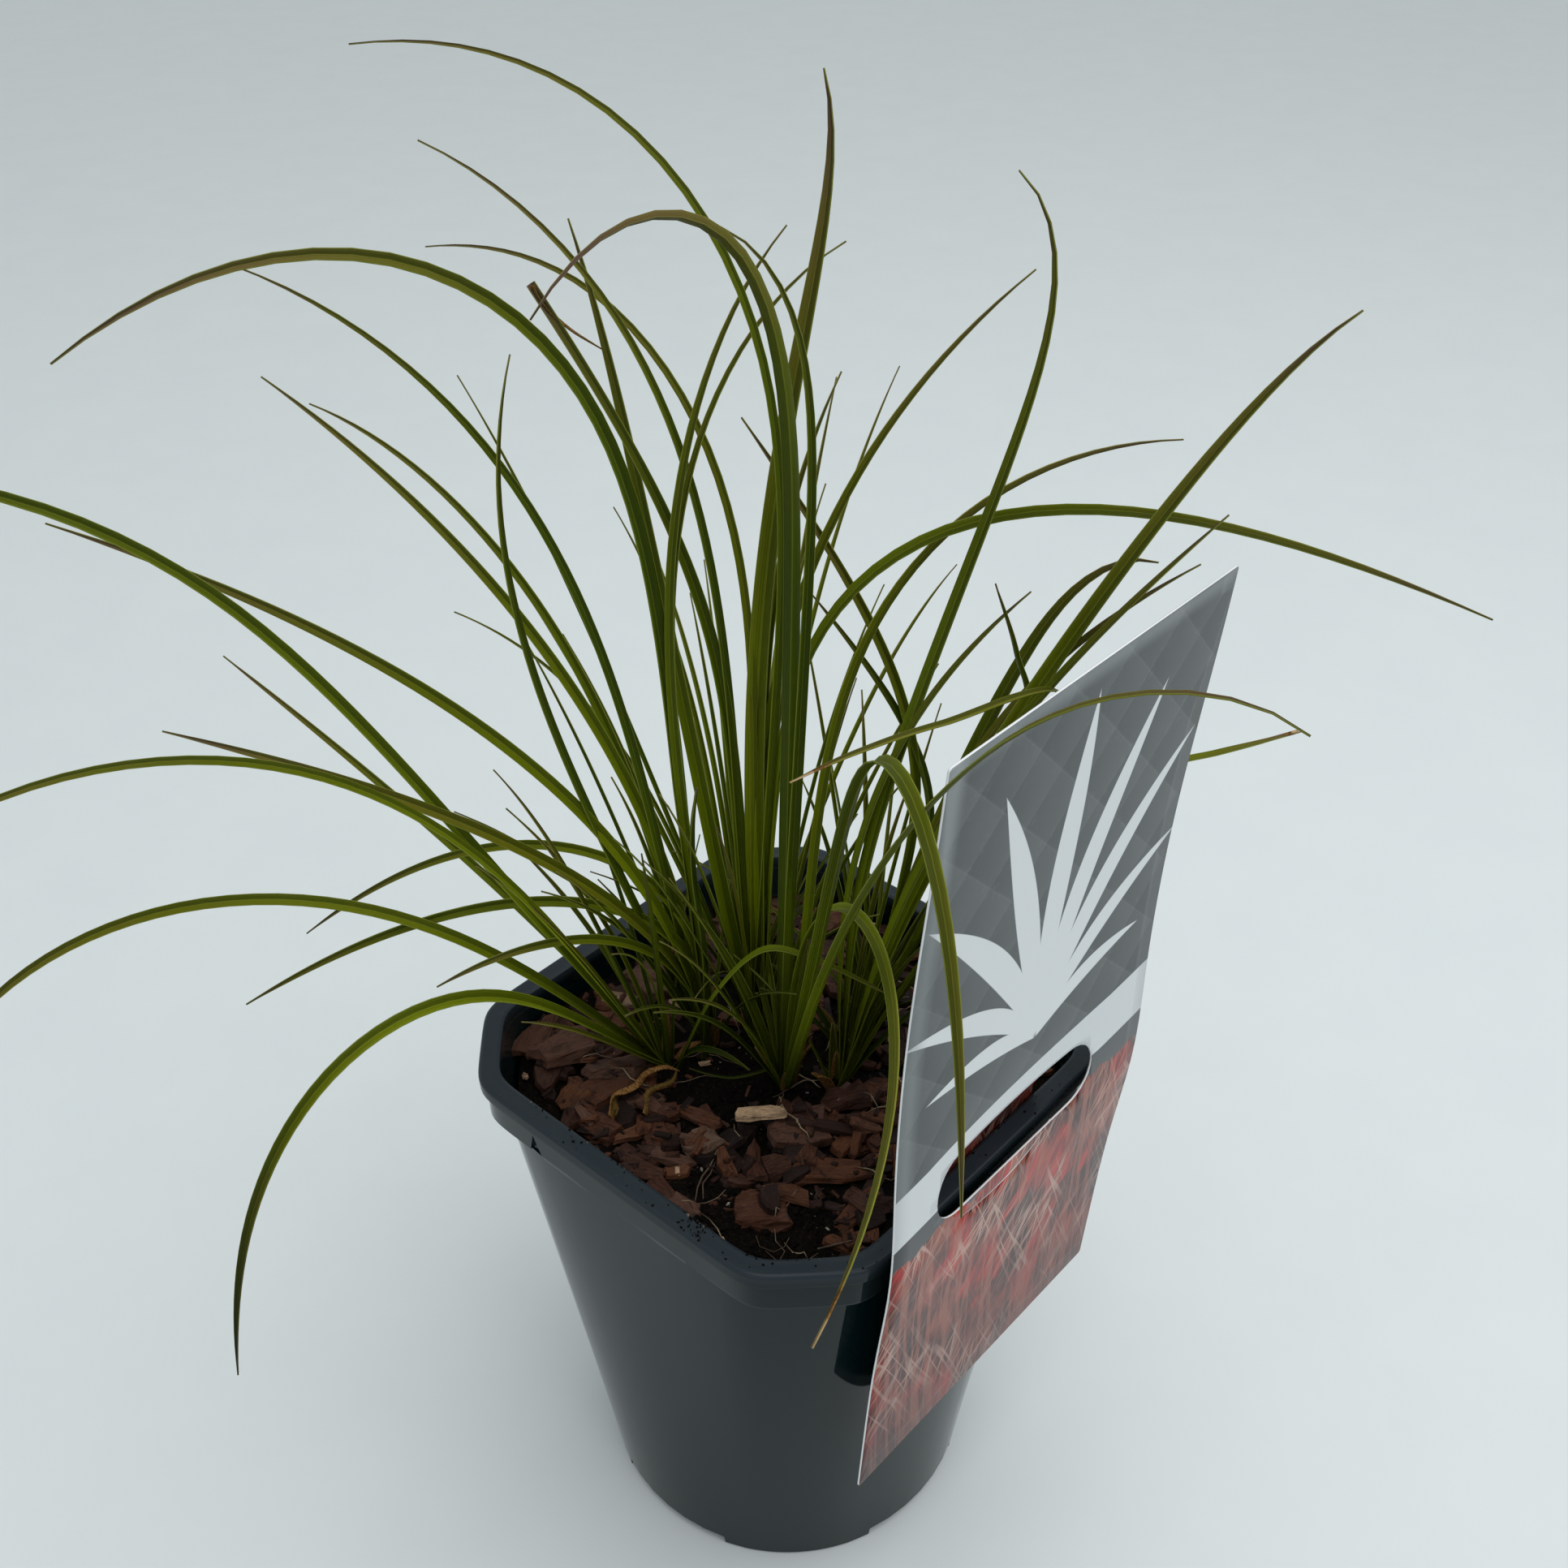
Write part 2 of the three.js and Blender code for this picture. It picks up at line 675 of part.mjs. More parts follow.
/** Grows every blade, turned or tilted a little where it would meet a blade of another tuft. */
function growBlades() {
  const random = seededRandom(7);
  const between = ([from, to]) => from + (to - from) * random();
  const grown = []; // each blade's tuft and sections
  const grow = (tuft, shape) => {
    const others = grown.filter((blade) => blade.tuft !== tuft);
    for (const { turn, tilt } of nudges) {
      const heading = shape.heading + turn;
      const baseLean = shape.baseLean + tilt;
      const sections = bladeSections(tuft, { ...shape, heading, baseLean });
      if (!clearOfHolder(sections)) continue;
      if (!others.every((blade) => bladesClear(sections, blade.sections))) continue;
      grown.push({ tuft, sections });
      return;
    }
  };
  for (const tuft of tufts) for (const shape of tuft.blades) grow(tuft, shape);
  for (const tuft of tufts)
    for (const { count, headings, lengths, leans } of tuft.fill)
      for (let number = 0; number < count; number++) {
        const heading = between(headings);
        const length = between(lengths);
        const baseLean = between(leans);
        const tipLean = baseLean + between([20, 75]);
        const width = between([2.4, 3.6]);
        const bendAt = between([0.8, 1.4]);
        const sharpness = between([1.5, 4]);
        grow(tuft, blade(heading, length, baseLean, tipLean, bendAt, sharpness, width));
      }
  return grown;
}

function makeTuft(tuft, grown) {
  const { x, y, radius } = tuft;
  const bottom = soilLevel - crownDepth;
  const crown = cylinder(x, y, radius, 0.55 * radius, bottom, soilLevel + crownRise, 7);
  const own = grown.filter((blade) => blade.tuft === tuft);
  return union([crown, ...own.map(({ sections }) => bladeSolid(sections))]);
}

// ---------------------------------------------------------------- the object

const blackPlastic = new THREE.MeshStandardMaterial({ color: 0x1c1f20, roughness: 0.3 });
const darkSoil = new THREE.MeshStandardMaterial({ color: 0x1d1410, roughness: 0.95 });
const bark = new THREE.MeshStandardMaterial({ color: 0x5a3320, roughness: 0.85 });
const glossyCard = new THREE.MeshStandardMaterial({ color: 0x8d918e, roughness: 0.3 });
const leafGreen = new THREE.MeshStandardMaterial({ color: 0x6d7a2c, roughness: 0.5 });

const carexSedge = new THREE.Group();
carexSedge.name = "carex_sedge";
carexSedge.add(piece("pot", makePot(), blackPlastic));
carexSedge.add(piece("potting_soil", makeSoil(), darkSoil));
carexSedge.add(piece("bark_mulch", makeMulch(), bark));
carexSedge.add(piece("plant_label", makeLabel(), glossyCard));
const grown = growBlades();
for (const tuft of tufts) carexSedge.add(piece(tuft.name, makeTuft(tuft, grown), leafGreen));

export default carexSedge;
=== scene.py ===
# %% [markdown]
# # A sedge in its nursery pot, dressed cell by cell
#
# The packed model holds this potted plant at its true size: a plastic pot, its soil and bark, a
# label hooked over the rim and eight tufts of narrow leaves. It could be rendered as it stands,
# but its blades are thick and its bark is a few slabs. So the cells below grow a finer piece in
# the place of each packed one, by the same rules and from the same sizes, and give it a finish.

# %% Load the packed model
import math

import bmesh
import bpy
import numpy as np
from mathutils import Matrix, Vector, noise


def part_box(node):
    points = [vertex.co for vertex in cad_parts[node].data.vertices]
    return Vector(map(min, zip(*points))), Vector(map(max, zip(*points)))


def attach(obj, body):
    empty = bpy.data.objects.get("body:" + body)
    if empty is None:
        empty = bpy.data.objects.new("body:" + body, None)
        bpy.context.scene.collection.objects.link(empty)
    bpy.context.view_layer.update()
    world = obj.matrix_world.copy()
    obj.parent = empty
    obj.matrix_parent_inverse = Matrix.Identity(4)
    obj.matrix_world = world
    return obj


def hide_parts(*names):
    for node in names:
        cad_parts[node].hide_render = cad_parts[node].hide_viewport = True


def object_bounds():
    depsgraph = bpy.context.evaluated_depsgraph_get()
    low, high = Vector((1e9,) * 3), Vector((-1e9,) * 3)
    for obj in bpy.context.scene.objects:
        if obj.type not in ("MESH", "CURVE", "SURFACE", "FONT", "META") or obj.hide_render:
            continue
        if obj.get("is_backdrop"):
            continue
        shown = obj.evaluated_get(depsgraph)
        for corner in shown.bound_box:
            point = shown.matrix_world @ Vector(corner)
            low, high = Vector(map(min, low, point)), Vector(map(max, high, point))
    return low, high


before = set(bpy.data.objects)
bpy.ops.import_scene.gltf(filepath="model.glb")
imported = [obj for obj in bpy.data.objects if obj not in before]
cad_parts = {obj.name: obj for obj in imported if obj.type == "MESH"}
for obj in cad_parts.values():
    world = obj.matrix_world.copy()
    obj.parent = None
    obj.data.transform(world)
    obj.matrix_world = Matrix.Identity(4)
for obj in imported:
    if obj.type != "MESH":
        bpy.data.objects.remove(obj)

cad_box = [list(corner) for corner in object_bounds()]
print("packed nodes:", ", ".join(sorted(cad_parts)))
print("packed box in metres:", cad_box)

# %% [markdown]
# ## Millimetres, seeded numbers and finished pieces
#
# A plant is measured in millimetres, and Blender works in metres. Each mesh could be typed in
# metres, but the sizes read better as a gardener would say them, so a mesh is shaped in
# millimetres and scaled once, when it is finished. Scattered things need numbers that look
# random and yet come out the same on every run. So they are drawn from one small formula, and
# Blender's own noise is given a fixed seed, because without one it starts from the clock.

# %% Helpers that every piece uses
MM = 0.001
DEGREE = math.pi / 180
TURN = 6.28  # about a full turn, for directions drawn by chance
noise.seed_set(8)


class Chance:
    """The same stream of numbers on every run."""

    def __init__(self, seed):
        self.state = seed

    def share(self):
        """A number from 0 to 1."""
        self.state = (self.state * 1664525 + 1013904223) % 2**32
        return self.state / 2**32

    def between(self, low, high):
        return low + (high - low) * self.share()

    def jitter(self, size):
        return self.between(-size, size)


def add_object(name, data):
    added = bpy.data.objects.new(name, data)
    bpy.context.collection.objects.link(added)
    return added


def add_mesh(name, bm, scale=MM):
    """Turns a bmesh into an object with its mesh in metres, and frees the bmesh."""
    mesh = bpy.data.meshes.new(name)
    bm.to_mesh(mesh)
    bm.free()
    mesh.transform(Matrix.Scale(scale, 4))
    return add_object(name, mesh)


def finish_piece(name, bm, materials, slot, nodes=()):
    """Turns a bmesh in millimetres into a piece that rides with the packed model."""
    piece = add_mesh(name, bm)
    for material in materials:
        piece.data.materials.append(material)
    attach(piece, "root")
    if nodes:
        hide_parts(*nodes)
    print(f"{name}: {len(piece.data.polygons)} faces")
    return piece


def smooth_all(bm):
    for face in bm.faces:
        face.smooth = True


def turn_outwards(bm):
    bmesh.ops.recalc_face_normals(bm, faces=bm.faces[:])


print("one millimetre is", MM, "m")

# %% [markdown]
# ## Formulas for finishes
#
# A finish is a picture drawn by formulas: streaks of bark, veins of a leaf, print on a card. Its
# nodes could be placed and wired one by one, which soon hides the idea. Here one small class
# wraps a node's output, so that a formula such as `1 - mask * 0.3` adds its own nodes, and one
# method adds every other kind of node.

# %% A wire that takes Python's operators
def fill_ramp(ramp, stops):
    while len(ramp.elements) < len(stops):
        ramp.elements.new(1.0)
    for element, (position, shade) in zip(ramp.elements, stops):
        element.position = position
        element.color = (*shade, 1.0)


class Wire:
    """What flows out of a shader node. An operator on it adds a Math node."""

    def __init__(self, socket):
        self.socket = socket

    def node(self, kind, settings=None, sockets=None, output=0):
        """Adds a node of some kind: its settings first, then what its sockets take."""
        tree = self.socket.id_data
        made = tree.nodes.new("ShaderNode" + kind)
        for name, value in (settings or {}).items():
            if name == "stops":
                fill_ramp(made.color_ramp, value)
            else:
                setattr(made, name, value)
        for name, value in (sockets or {}).items():
            if isinstance(value, Wire):
                tree.links.new(value.socket, made.inputs[name])
            else:
                made.inputs[name].default_value = value
        return Wire(made.outputs[output])

    def math(self, operation, *values):
        return self.node("Math", {"operation": operation}, dict(enumerate(values)))

    def __add__(self, other):
        return self.math("ADD", self, other)

    __radd__ = __add__

    def __sub__(self, other):
        return self.math("SUBTRACT", self, other)

    def __rsub__(self, other):
        return self.math("SUBTRACT", other, self)

    def __mul__(self, other):
        return self.math("MULTIPLY", self, other)

    __rmul__ = __mul__

    def __truediv__(self, other):
        return self.math("DIVIDE", self, other)

    def __abs__(self):
        return self.math("ABSOLUTE", self)

    def sine(self):
        return self.math("SINE", self)

    def fraction(self):
        return self.math("FRACT", self)

    def smooth(self, low, high):
        """0 below low and 1 above high, with a soft step between them."""
        sockets = {"Value": self, "From Min": low, "From Max": high}
        return self.node("MapRange", {"interpolation_type": "SMOOTHSTEP"}, sockets)

    def attribute(self, name):
        """A number that the mesh holds at each of its points."""
        return self.node("Attribute", {"attribute_name": name}, output="Fac")

    def uv_map(self, name):
        return self.node("UVMap", {"uv_map": name})

    def part(self, letter):
        return self.node("SeparateXYZ", None, {"Vector": self}, letter)

    def stretched(self, *scale, turn=(0, 0, 0)):
        return self.node("Mapping", None, {"Vector": self, "Scale": scale, "Rotation": turn})

    def noise(self, scale, detail=2.0, roughness=0.5, distortion=0.0):
        sockets = {"Vector": self, "Scale": scale, "Detail": detail, "Roughness": roughness}
        return self.node("TexNoise", None, {**sockets, "Distortion": distortion})

    def ramp(self, *stops):
        return self.node("ValToRGB", {"stops": stops}, {"Fac": self})

    def mix(self, low, high):
        """The colour low where this wire is 0, and high where it is 1."""
        low, high = [c if isinstance(c, Wire) else (*c, 1.0) for c in (low, high)]
        return self.node("Mix", {"data_type": "RGBA"}, {0: self, 6: low, 7: high}, output=2)

    def bump(self, depth, strength=1.0):
        """This wire, from 0 to 1, as a relief of some depth in millimetres."""
        sockets = {"Height": self, "Distance": depth * MM, "Strength": strength}
        return self.node("Bump", None, sockets, "Normal")


def new_finish(name, **constants):
    """A material whose shader holds what is the same all over, and its place in millimetres."""
    material = bpy.data.materials.new(name)
    material.use_nodes = True
    shader = material.node_tree.nodes["Principled BSDF"]
    for socket, value in constants.items():
        shader.inputs[socket.replace("_", " ")].default_value = value
    place = Wire(material.node_tree.nodes.new("ShaderNodeTexCoord").outputs["Object"])
    return material, place.stretched(1 / MM, 1 / MM, 1 / MM)


def drive(material, **wires):
    """Feeds the shader what changes over the surface."""
    tree = material.node_tree
    for socket, wire in wires.items():
        tree.links.new(wire.socket, tree.nodes["Principled BSDF"].inputs[socket.replace("_", " ")])


print("the wire class knows", len([n for n in vars(Wire) if not n.startswith("__")]), "verbs")

# %% [markdown]
# ## Camera, floor and light
#
# The plant is looked at from above one corner of the pot, at about 35 degrees, so that the bark,
# the whole clump and the label all show. The real light is a bright overcast sky. A single lamp
# would throw hard shadows, so the world itself is the main light, and one broad lamp overhead
# gives the leaves a lit side and the pot a soft shadow to stand in.

# %% Camera
sensor_side = 36  # millimetres
picture_side = 1932  # pixels, the unit that the focal length is measured in
focal_pixels = 2150
camera_place = (-0.2743, -0.2415, 0.5144)
camera_tilt = 54.74  # degrees up from looking straight down
camera_heading = -48.49

camera_data = bpy.data.cameras.new("view")
camera_data.sensor_fit = "HORIZONTAL"
camera_data.sensor_width = sensor_side
camera_data.lens = sensor_side * focal_pixels / picture_side
camera = add_object("view", camera_data)
camera.location = camera_place
camera.rotation_euler = (camera_tilt * DEGREE, 0, camera_heading * DEGREE)
bpy.context.scene.camera = camera
print("lens", round(camera_data.lens, 2), "mm")

# %% Floor
floor_finish, place = new_finish("pale_board", Roughness=0.6)
mottle = place.noise(0.02, 3.0, 0.6)
drive(floor_finish, Base_Color=mottle.mix((0.71, 0.755, 0.765), (0.76, 0.80, 0.81)))

floor_reach = 4.0  # metres, from the middle to each side
bm = bmesh.new()
bmesh.ops.create_grid(bm, x_segments=1, y_segments=1, size=floor_reach)
floor = add_mesh("floor", bm, scale=1)
floor.data.materials.append(floor_finish)
floor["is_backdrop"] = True
print("floor is", [round(side, 1) for side in floor.dimensions], "m")

# %% Light
sky = bpy.data.worlds.new("overcast_sky")
sky.use_nodes = True
background = sky.node_tree.nodes["Background"]
background.inputs["Color"].default_value = (0.93, 0.98, 0.99, 1.0)
background.inputs["Strength"].default_value = 0.62
bpy.context.scene.world = sky


def add_lamp(name, place, target, side, watts):
    """A square soft box that faces its target."""
    data = bpy.data.lights.new(name, "AREA")
    data.size = side
    data.energy = watts
    lamp = add_object(name, data)
    lamp.location = place
    lamp.rotation_euler = (Vector(target) - Vector(place)).to_track_quat("-Z", "Y").to_euler()


add_lamp("overhead", (0.15, -0.45, 1.5), (0.05, 0, 0.1), 1.6, 13)
bpy.context.scene.view_settings.view_transform = "Standard"

# %% [markdown]
# ## The pot
#
# The real pot is one thin moulding: round at the foot, where it stands, and square with cut
# corners at the rim, where many pots have to pack a tray. It could be a cylinder pushed square
# by a lattice, but its rim, lip and skirt are crisp steps. So each level is a ring worked out
# by one formula for a rounded octagon, and a circle is extruded from ring to ring, up the
# outside, over the rim and down the inside.

# %% Sizes and sections of the pot
pot_height = 170
rim_half_width = 72.5
rim_corner_cut = 22
rim_ledge = 6
lip_drop = 4.5
skirt_drop = 14.5
skirt_inset = 1.9
skirt_gap = 0.2  # the wall's flat sides lie this far inside the skirt's
wall_corner_inset = 6.2
crisp_bend = 44  # how sharply the rim and the skirt turn at their corners
soft_bend = 18  # and how softly the wall does
pot_wall = 1.4
base_radius = 57
foot_height = 4.2
foot_gap_width = 42
centre_disc_radius = 24
floor_thickness = 1.6
drain_holes = 8
drain_hole_radius = 3.5
drain_ring_radius = 36
soil_level = 155

wall_top = pot_height - skirt_drop
lip_bottom = pot_height - lip_drop
wall_top_flat = rim_half_width - skirt_inset - skirt_gap
rim_corner_distance = (2 * rim_half_width - rim_corner_cut) / math.sqrt(2)

# Most of the points of a quarter lie within 17 degrees of its corner, where the wall turns.
corner_points = [28 + 34 * k / 26 for k in range(26)]
side_points = [62 + 56 * k / 8 for k in range(8)]
section_angles = [
    (quarter * 90 + angle) * DEGREE for quarter in range(4) for angle in corner_points + side_points
]


def octagon_radius(angle, flat, corner, crispness):
    """Radius of a rounded octagon: flat sides and corner chamfers at two distances."""
    total = 0.0
    for side in range(8):
        facing = math.cos(angle - side * 45 * DEGREE)
        if facing > 0:
            total += (facing / (corner if side % 2 else flat)) ** crispness
    return total ** (-1 / crispness)


def rim_radius(angle, inset):
    return octagon_radius(angle, rim_half_width - inset, rim_corner_distance - inset, crisp_bend)


def wall_radius(angle, z):
    """The wall is a circle at the foot and a soft octagon under the skirt."""
    corner = rim_corner_distance - wall_corner_inset
    top = octagon_radius(angle, wall_top_flat, corner, soft_bend)
    return base_radius + (top - base_radius) * z / wall_top


def spot_at(angle, radius):
    return radius * math.cos(angle), radius * math.sin(angle)


def ring(z, radius_at):
    return [Vector((*spot_at(angle, radius_at(angle)), z)) for angle in section_angles]


def round_ring(radius, z):
    return ring(z, lambda angle: radius)


def rim_ring(inset, z):
    return ring(z, lambda angle: rim_radius(angle, inset))


def wall_ring(inset, z):
    return ring(z, lambda angle: wall_radius(angle, z) - inset)


def skirt_ring(z):
    """The skirt runs on from the wall on the flat sides and stands proud of it at the corners."""
    flat = base_radius + (wall_top_flat - base_radius) * z / wall_top
    corner = rim_corner_distance - skirt_inset
    return ring(z, lambda angle: octagon_radius(angle, flat, corner, crisp_bend))


def quarter_turn(ring_at, start, end, steps=3):
    """Rings round a moulded edge, from (inset, z) to (inset, z), first along z, then inwards."""
    rings = []
    for step in range(steps + 1):
        angle = step / steps * math.pi / 2
        inset = start[0] + (end[0] - start[0]) * (1 - math.cos(angle))
        rings.append(ring_at(inset, start[1] + (end[1] - start[1]) * math.sin(angle)))
    return rings


print("rim corner lies", round(rim_corner_distance, 1), "mm from the axis")

# %% Skin a stack of rings
def loft(bm, rings):
    """Lays a capped circle on the first ring and extrudes its edge from ring to ring."""
    circle = bmesh.ops.create_circle(bm, cap_ends=True, segments=len(rings[0]), radius=1)
    loop = {vert: number for number, vert in enumerate(circle["verts"])}
    edges = list(dict.fromkeys(edge for vert in loop for edge in vert.link_edges))
    for vert, number in loop.items():
        vert.co = rings[0][number]
    for places in rings[1:]:
        grown = bmesh.ops.extrude_edge_only(bm, edges=edges)["geom"]
        verts = {item for item in grown if isinstance(item, bmesh.types.BMVert)}
        edges = [
            item
            for item in grown
            if isinstance(item, bmesh.types.BMEdge) and verts.issuperset(item.verts)
        ]
        after = {}
        for vert in verts:
            before = next(o for o in (e.other_vert(vert) for e in vert.link_edges) if o in loop)
            after[vert] = loop[before]
            vert.co = places[loop[before]]
        loop = after
    bmesh.ops.edgeloop_fill(bm, edges=edges)


def cut_away(piece, cutter_bm):
    """Cuts a bmesh in millimetres out of a finished piece."""
    cutter = add_mesh("cutter", cutter_bm)
    cut = piece.modifiers.new("cut", "BOOLEAN")
    cut.operation = "DIFFERENCE"
    cut.solver = "EXACT"
    cut.object = cutter
    seen = piece.evaluated_get(bpy.context.evaluated_depsgraph_get())
    result = bpy.data.meshes.new_from_object(seen)
    piece.modifiers.remove(cut)
    piece.data = result
    bpy.data.objects.remove(cutter)
    print(f"{piece.name}: {len(result.polygons)} faces after the cut")


print("a section has", len(section_angles), "points")

# %% Mould the pot
under = foot_height
floor_top = under + floor_thickness
foot_width = 7
pot_rings = [
    round_ring(centre_disc_radius - 2, 0),
    round_ring(centre_disc_radius, 0),
    round_ring(centre_disc_radius + 2, under),
    round_ring(base_radius - foot_width - 1, under),
    round_ring(base_radius - foot_width, 0),
    round_ring(base_radius - 0.8, 0),
    round_ring(base_radius - 0.25, 0.25),
    wall_ring(0, 0.8),
    *[wall_ring(0, 0.8 + (wall_top - 2) * k / 8) for k in range(1, 9)],
    wall_ring(0, wall_top - 0.3),
    skirt_ring(wall_top),
    skirt_ring(wall_top + 0.8),
    skirt_ring(lip_bottom - 0.9),
    skirt_ring(lip_bottom - 0.5),
    rim_ring(skirt_inset - 0.35, lip_bottom - 0.12),
    rim_ring(0.5, lip_bottom),
    rim_ring(0.1, lip_bottom + 0.2),
    *quarter_turn(rim_ring, (0, pot_height - 1.3), (1.3, pot_height), 4),
    rim_ring(3.2, pot_height - 0.25),
    rim_ring(rim_ledge - 1, pot_height - 0.05),
    rim_ring(rim_ledge - 0.2, pot_height - 0.35),
    rim_ring(rim_ledge, pot_height - 0.9),
    rim_ring(rim_ledge, lip_bottom),
    wall_ring(pot_wall, wall_top - 3),
    wall_ring(pot_wall, 80),
    wall_ring(pot_wall, floor_top),
    round_ring(centre_disc_radius, floor_top),
    round_ring(centre_disc_radius - 2, floor_thickness),
]
bm = bmesh.new()
loft(bm, pot_rings)
turn_outwards(bm)
smooth_all(bm)
for edge in bm.edges:  # the steps of the moulding stay crisp
    edge.smooth = edge.calc_face_angle(0) < 25 * DEGREE
print("pot rings:", len(pot_rings))

# %% [markdown]
# The plastic is black and smooth, and what makes it look slate grey is the pale floor mirrored
# in it. It could be painted grey, but then it would stay grey in the dark. So the colour is
# nearly black and the gloss is even. Faint scuffs and a little soil dust break it, and some
# light is painted in: a paler bluish tone on what faces up stands in for the sky mirrored there,
# and the skirt and thin highlight lines along the lip and the skirt are painted paler at the corners.

# %% Black plastic
plastic, place = new_finish("black_moulded_plastic", IOR=1.24)
flow = place.stretched(1, 1, 0.25).noise(0.05, 4.0, 0.6)
scuffs = place.stretched(0.3, 0.3, 2.0).noise(0.35, 6.0, 0.7).smooth(0.62, 0.8)
height = place.part("Z")
filmed = height.smooth(pot_height - 4, pot_height - 0.4)  # dust dulls what faces up, and a paler bluish tone is painted there as the sky's reflection
dusty = place.noise(0.16, 5.0, 0.7).smooth(0.6, 0.75) * filmed
cornered = (abs(place.part("X")) + abs(place.part("Y"))).smooth(96, 112)
# The skirt's corners are painted a paler grey: partly a duller, dustier skirt, partly a painted
# reflection.
skirt = height.smooth(wall_top - 0.2, wall_top + 0.2) * cornered
bare = skirt.mix((0.0015, 0.0085, 0.0100), (0.011, 0.018, 0.019))
bare = filmed.mix(bare, (0.022, 0.030, 0.037))
# Thin pale lines along the lower edges of the lip and the skirt at the corners are painted
# highlights; the scuffs mixed in with them are real wear.
from_step = abs(height - wall_top - 0.2).smooth(0.1, 0.5)
from_lip = abs(height - lip_bottom).smooth(0.1, 0.5)
rubbed = (2 - from_step - from_lip) * cornered
worn = (scuffs * 0.1 + rubbed * 0.4).mix(bare, (0.05, 0.058, 0.06))
drive(
    plastic,
    Base_Color=(dusty * 0.35).mix(worn, (0.055, 0.04, 0.03)),
    Roughness=flow * 0.02 + scuffs * 0.03 + filmed * 0.2 + dusty * 0.3 + 0.04,
    Normal=place.noise(0.05, 1.0, 0.5).bump(0.03, 0.2),
)
pot = finish_piece("pot_moulding", bm, [plastic], "pot_plastic", ["pot"])

# %% Cut the gaps between the feet and the drain holes
notch_depth = 1.7
notch_away = 29.6  # from the middle of a flat side
notch_x = 71 - notch_depth + 3  # the cutter stands 3 mm out of the skirt


def add_rod(bm, segments, radius, length, matrix):
    bmesh.ops.create_cone(
        bm,
        cap_ends=True,
        segments=segments,
        radius1=radius,
        radius2=radius,
        depth=length,
        matrix=matrix,
    )


cutter = bmesh.new()
for side in range(4):
    facing = Matrix.Rotation(side * math.pi / 2, 4, "Z")
    gap = facing @ Matrix.Translation((base_radius, 0, 0))
    size = Matrix.Diagonal((20, foot_gap_width, 2 * foot_height, 1))
    bmesh.ops.create_cube(cutter, size=1, matrix=gap @ size)
    for end in (-1, 1):  # a small three-cornered notch at either end of the skirt's corner piece
        spot = facing @ Matrix.Translation((notch_x, end * notch_away, wall_top + 2.2))
        size = Matrix.Diagonal((6, end * -2.8, 5.2, 1)) @ Matrix.Rotation(math.pi / 2, 4, "Y")
        upright = Matrix.Rotation(math.pi / 2, 4, "Z")
        add_rod(cutter, 3, 1, 1, spot @ size @ upright)
for hole in range(drain_holes):
    turn = (hole + 0.5) / drain_holes * 2 * math.pi
    spot = (*spot_at(turn, drain_ring_radius), foot_height - 0.2)
    add_rod(cutter, 20, drain_hole_radius, 12, Matrix.Translation(spot))
cut_away(pot, cutter)
edges = pot.modifiers.new("soft_edges", "BEVEL")
edges.width = 0.3 * MM
edges.segments = 2
edges.limit_method = "ANGLE"
edges.angle_limit = 50 * DEGREE
edges.harden_normals = True

# %% [markdown]
# ## The potting soil
#
# Under the bark lies peat compost, nearly black, and it shows in the bare places and round the
# crowns. It could be a flat disc with a bump map, but crumbs catch the light on one side only.
# So its surface is a net of rings pushed up and down by noise, and two thousand crumbs lie on
# it as small lumps of their own.

# %% The root ball and its surface
soil_clearance = 0.85
soil_seat = 0.35  # above the pot's floor
soil_inset = 3.2


def soil_height(x, y):
    """The gently uneven surface, which rises a little towards the wall."""
    return soil_level + 0.8 * math.sin(x / 13 + 1) * math.cos(y / 17) + 0.00022 * (x * x + y * y)


def surface_ring(share):
    places = []
    for angle in section_angles:
        x, y = spot_at(angle, (wall_radius(angle, soil_level) - soil_inset) * share)
        lumps = noise.fractal(Vector((x, y, 0)) * 0.18, 0.8, 2.2, 4)
        places.append(Vector((x, y, soil_height(x, y) + 1.1 * lumps)))
    return places


soil_rings = [
    round_ring(centre_disc_radius - 3, floor_thickness + soil_seat),
    round_ring(centre_disc_radius - 1, floor_top + soil_seat),
    *[wall_ring(pot_wall + soil_clearance, z) for z in (floor_top + soil_seat, 80, wall_top - 4)],
    *[surface_ring(1 - k / 40) for k in range(39)],
]
bm = bmesh.new()
loft(bm, soil_rings)
turn_outwards(bm)
smooth_all(bm)

compost, place = new_finish("peat_compost", Roughness=0.95, Specular_IOR_Level=0.12)
grains = place.noise(0.9, 6.0, 0.75)
clods = place.noise(0.22, 3.0, 0.6)
tone = place.attribute("tone")
peat = grains.ramp(
    (0.4, (0.001, 0.0007, 0.0005)),
    (0.58, (0.007, 0.004, 0.0024)),
    (0.7, (0.05, 0.026, 0.014)),
)
drive(
    compost,
    Base_Color=tone.smooth(0.5, 1.0).mix(peat, (0.42, 0.38, 0.32)),
    Normal=(grains * 0.7 + clods * 0.3).bump(1.6, 0.9),
)
soil = finish_piece("soil_root_ball", bm, [compost], "soil", ["potting_soil"])

# %% Crumbs of soil
bare_patches = [
    (-16, 6, 13),
    (-52, -42, 10),
    (-40, -46, 8),
    (-50, -14, 7),
    (-55, -22, 5),
    (-20, -4, 7),
    (26, 34, 7),
    (0, -1, 11),
]


def inside_pot(x, y, margin):
    """Whether a spot on the soil lies inside the wall by some margin."""
    return math.hypot(x, y) < wall_radius(math.atan2(y, x), soil_level) - margin


def random_spot(chance, margin):
    while True:
        x = chance.jitter(rim_half_width)
        y = chance.jitter(rim_half_width)
        if inside_pot(x, y, margin):
            return x, y


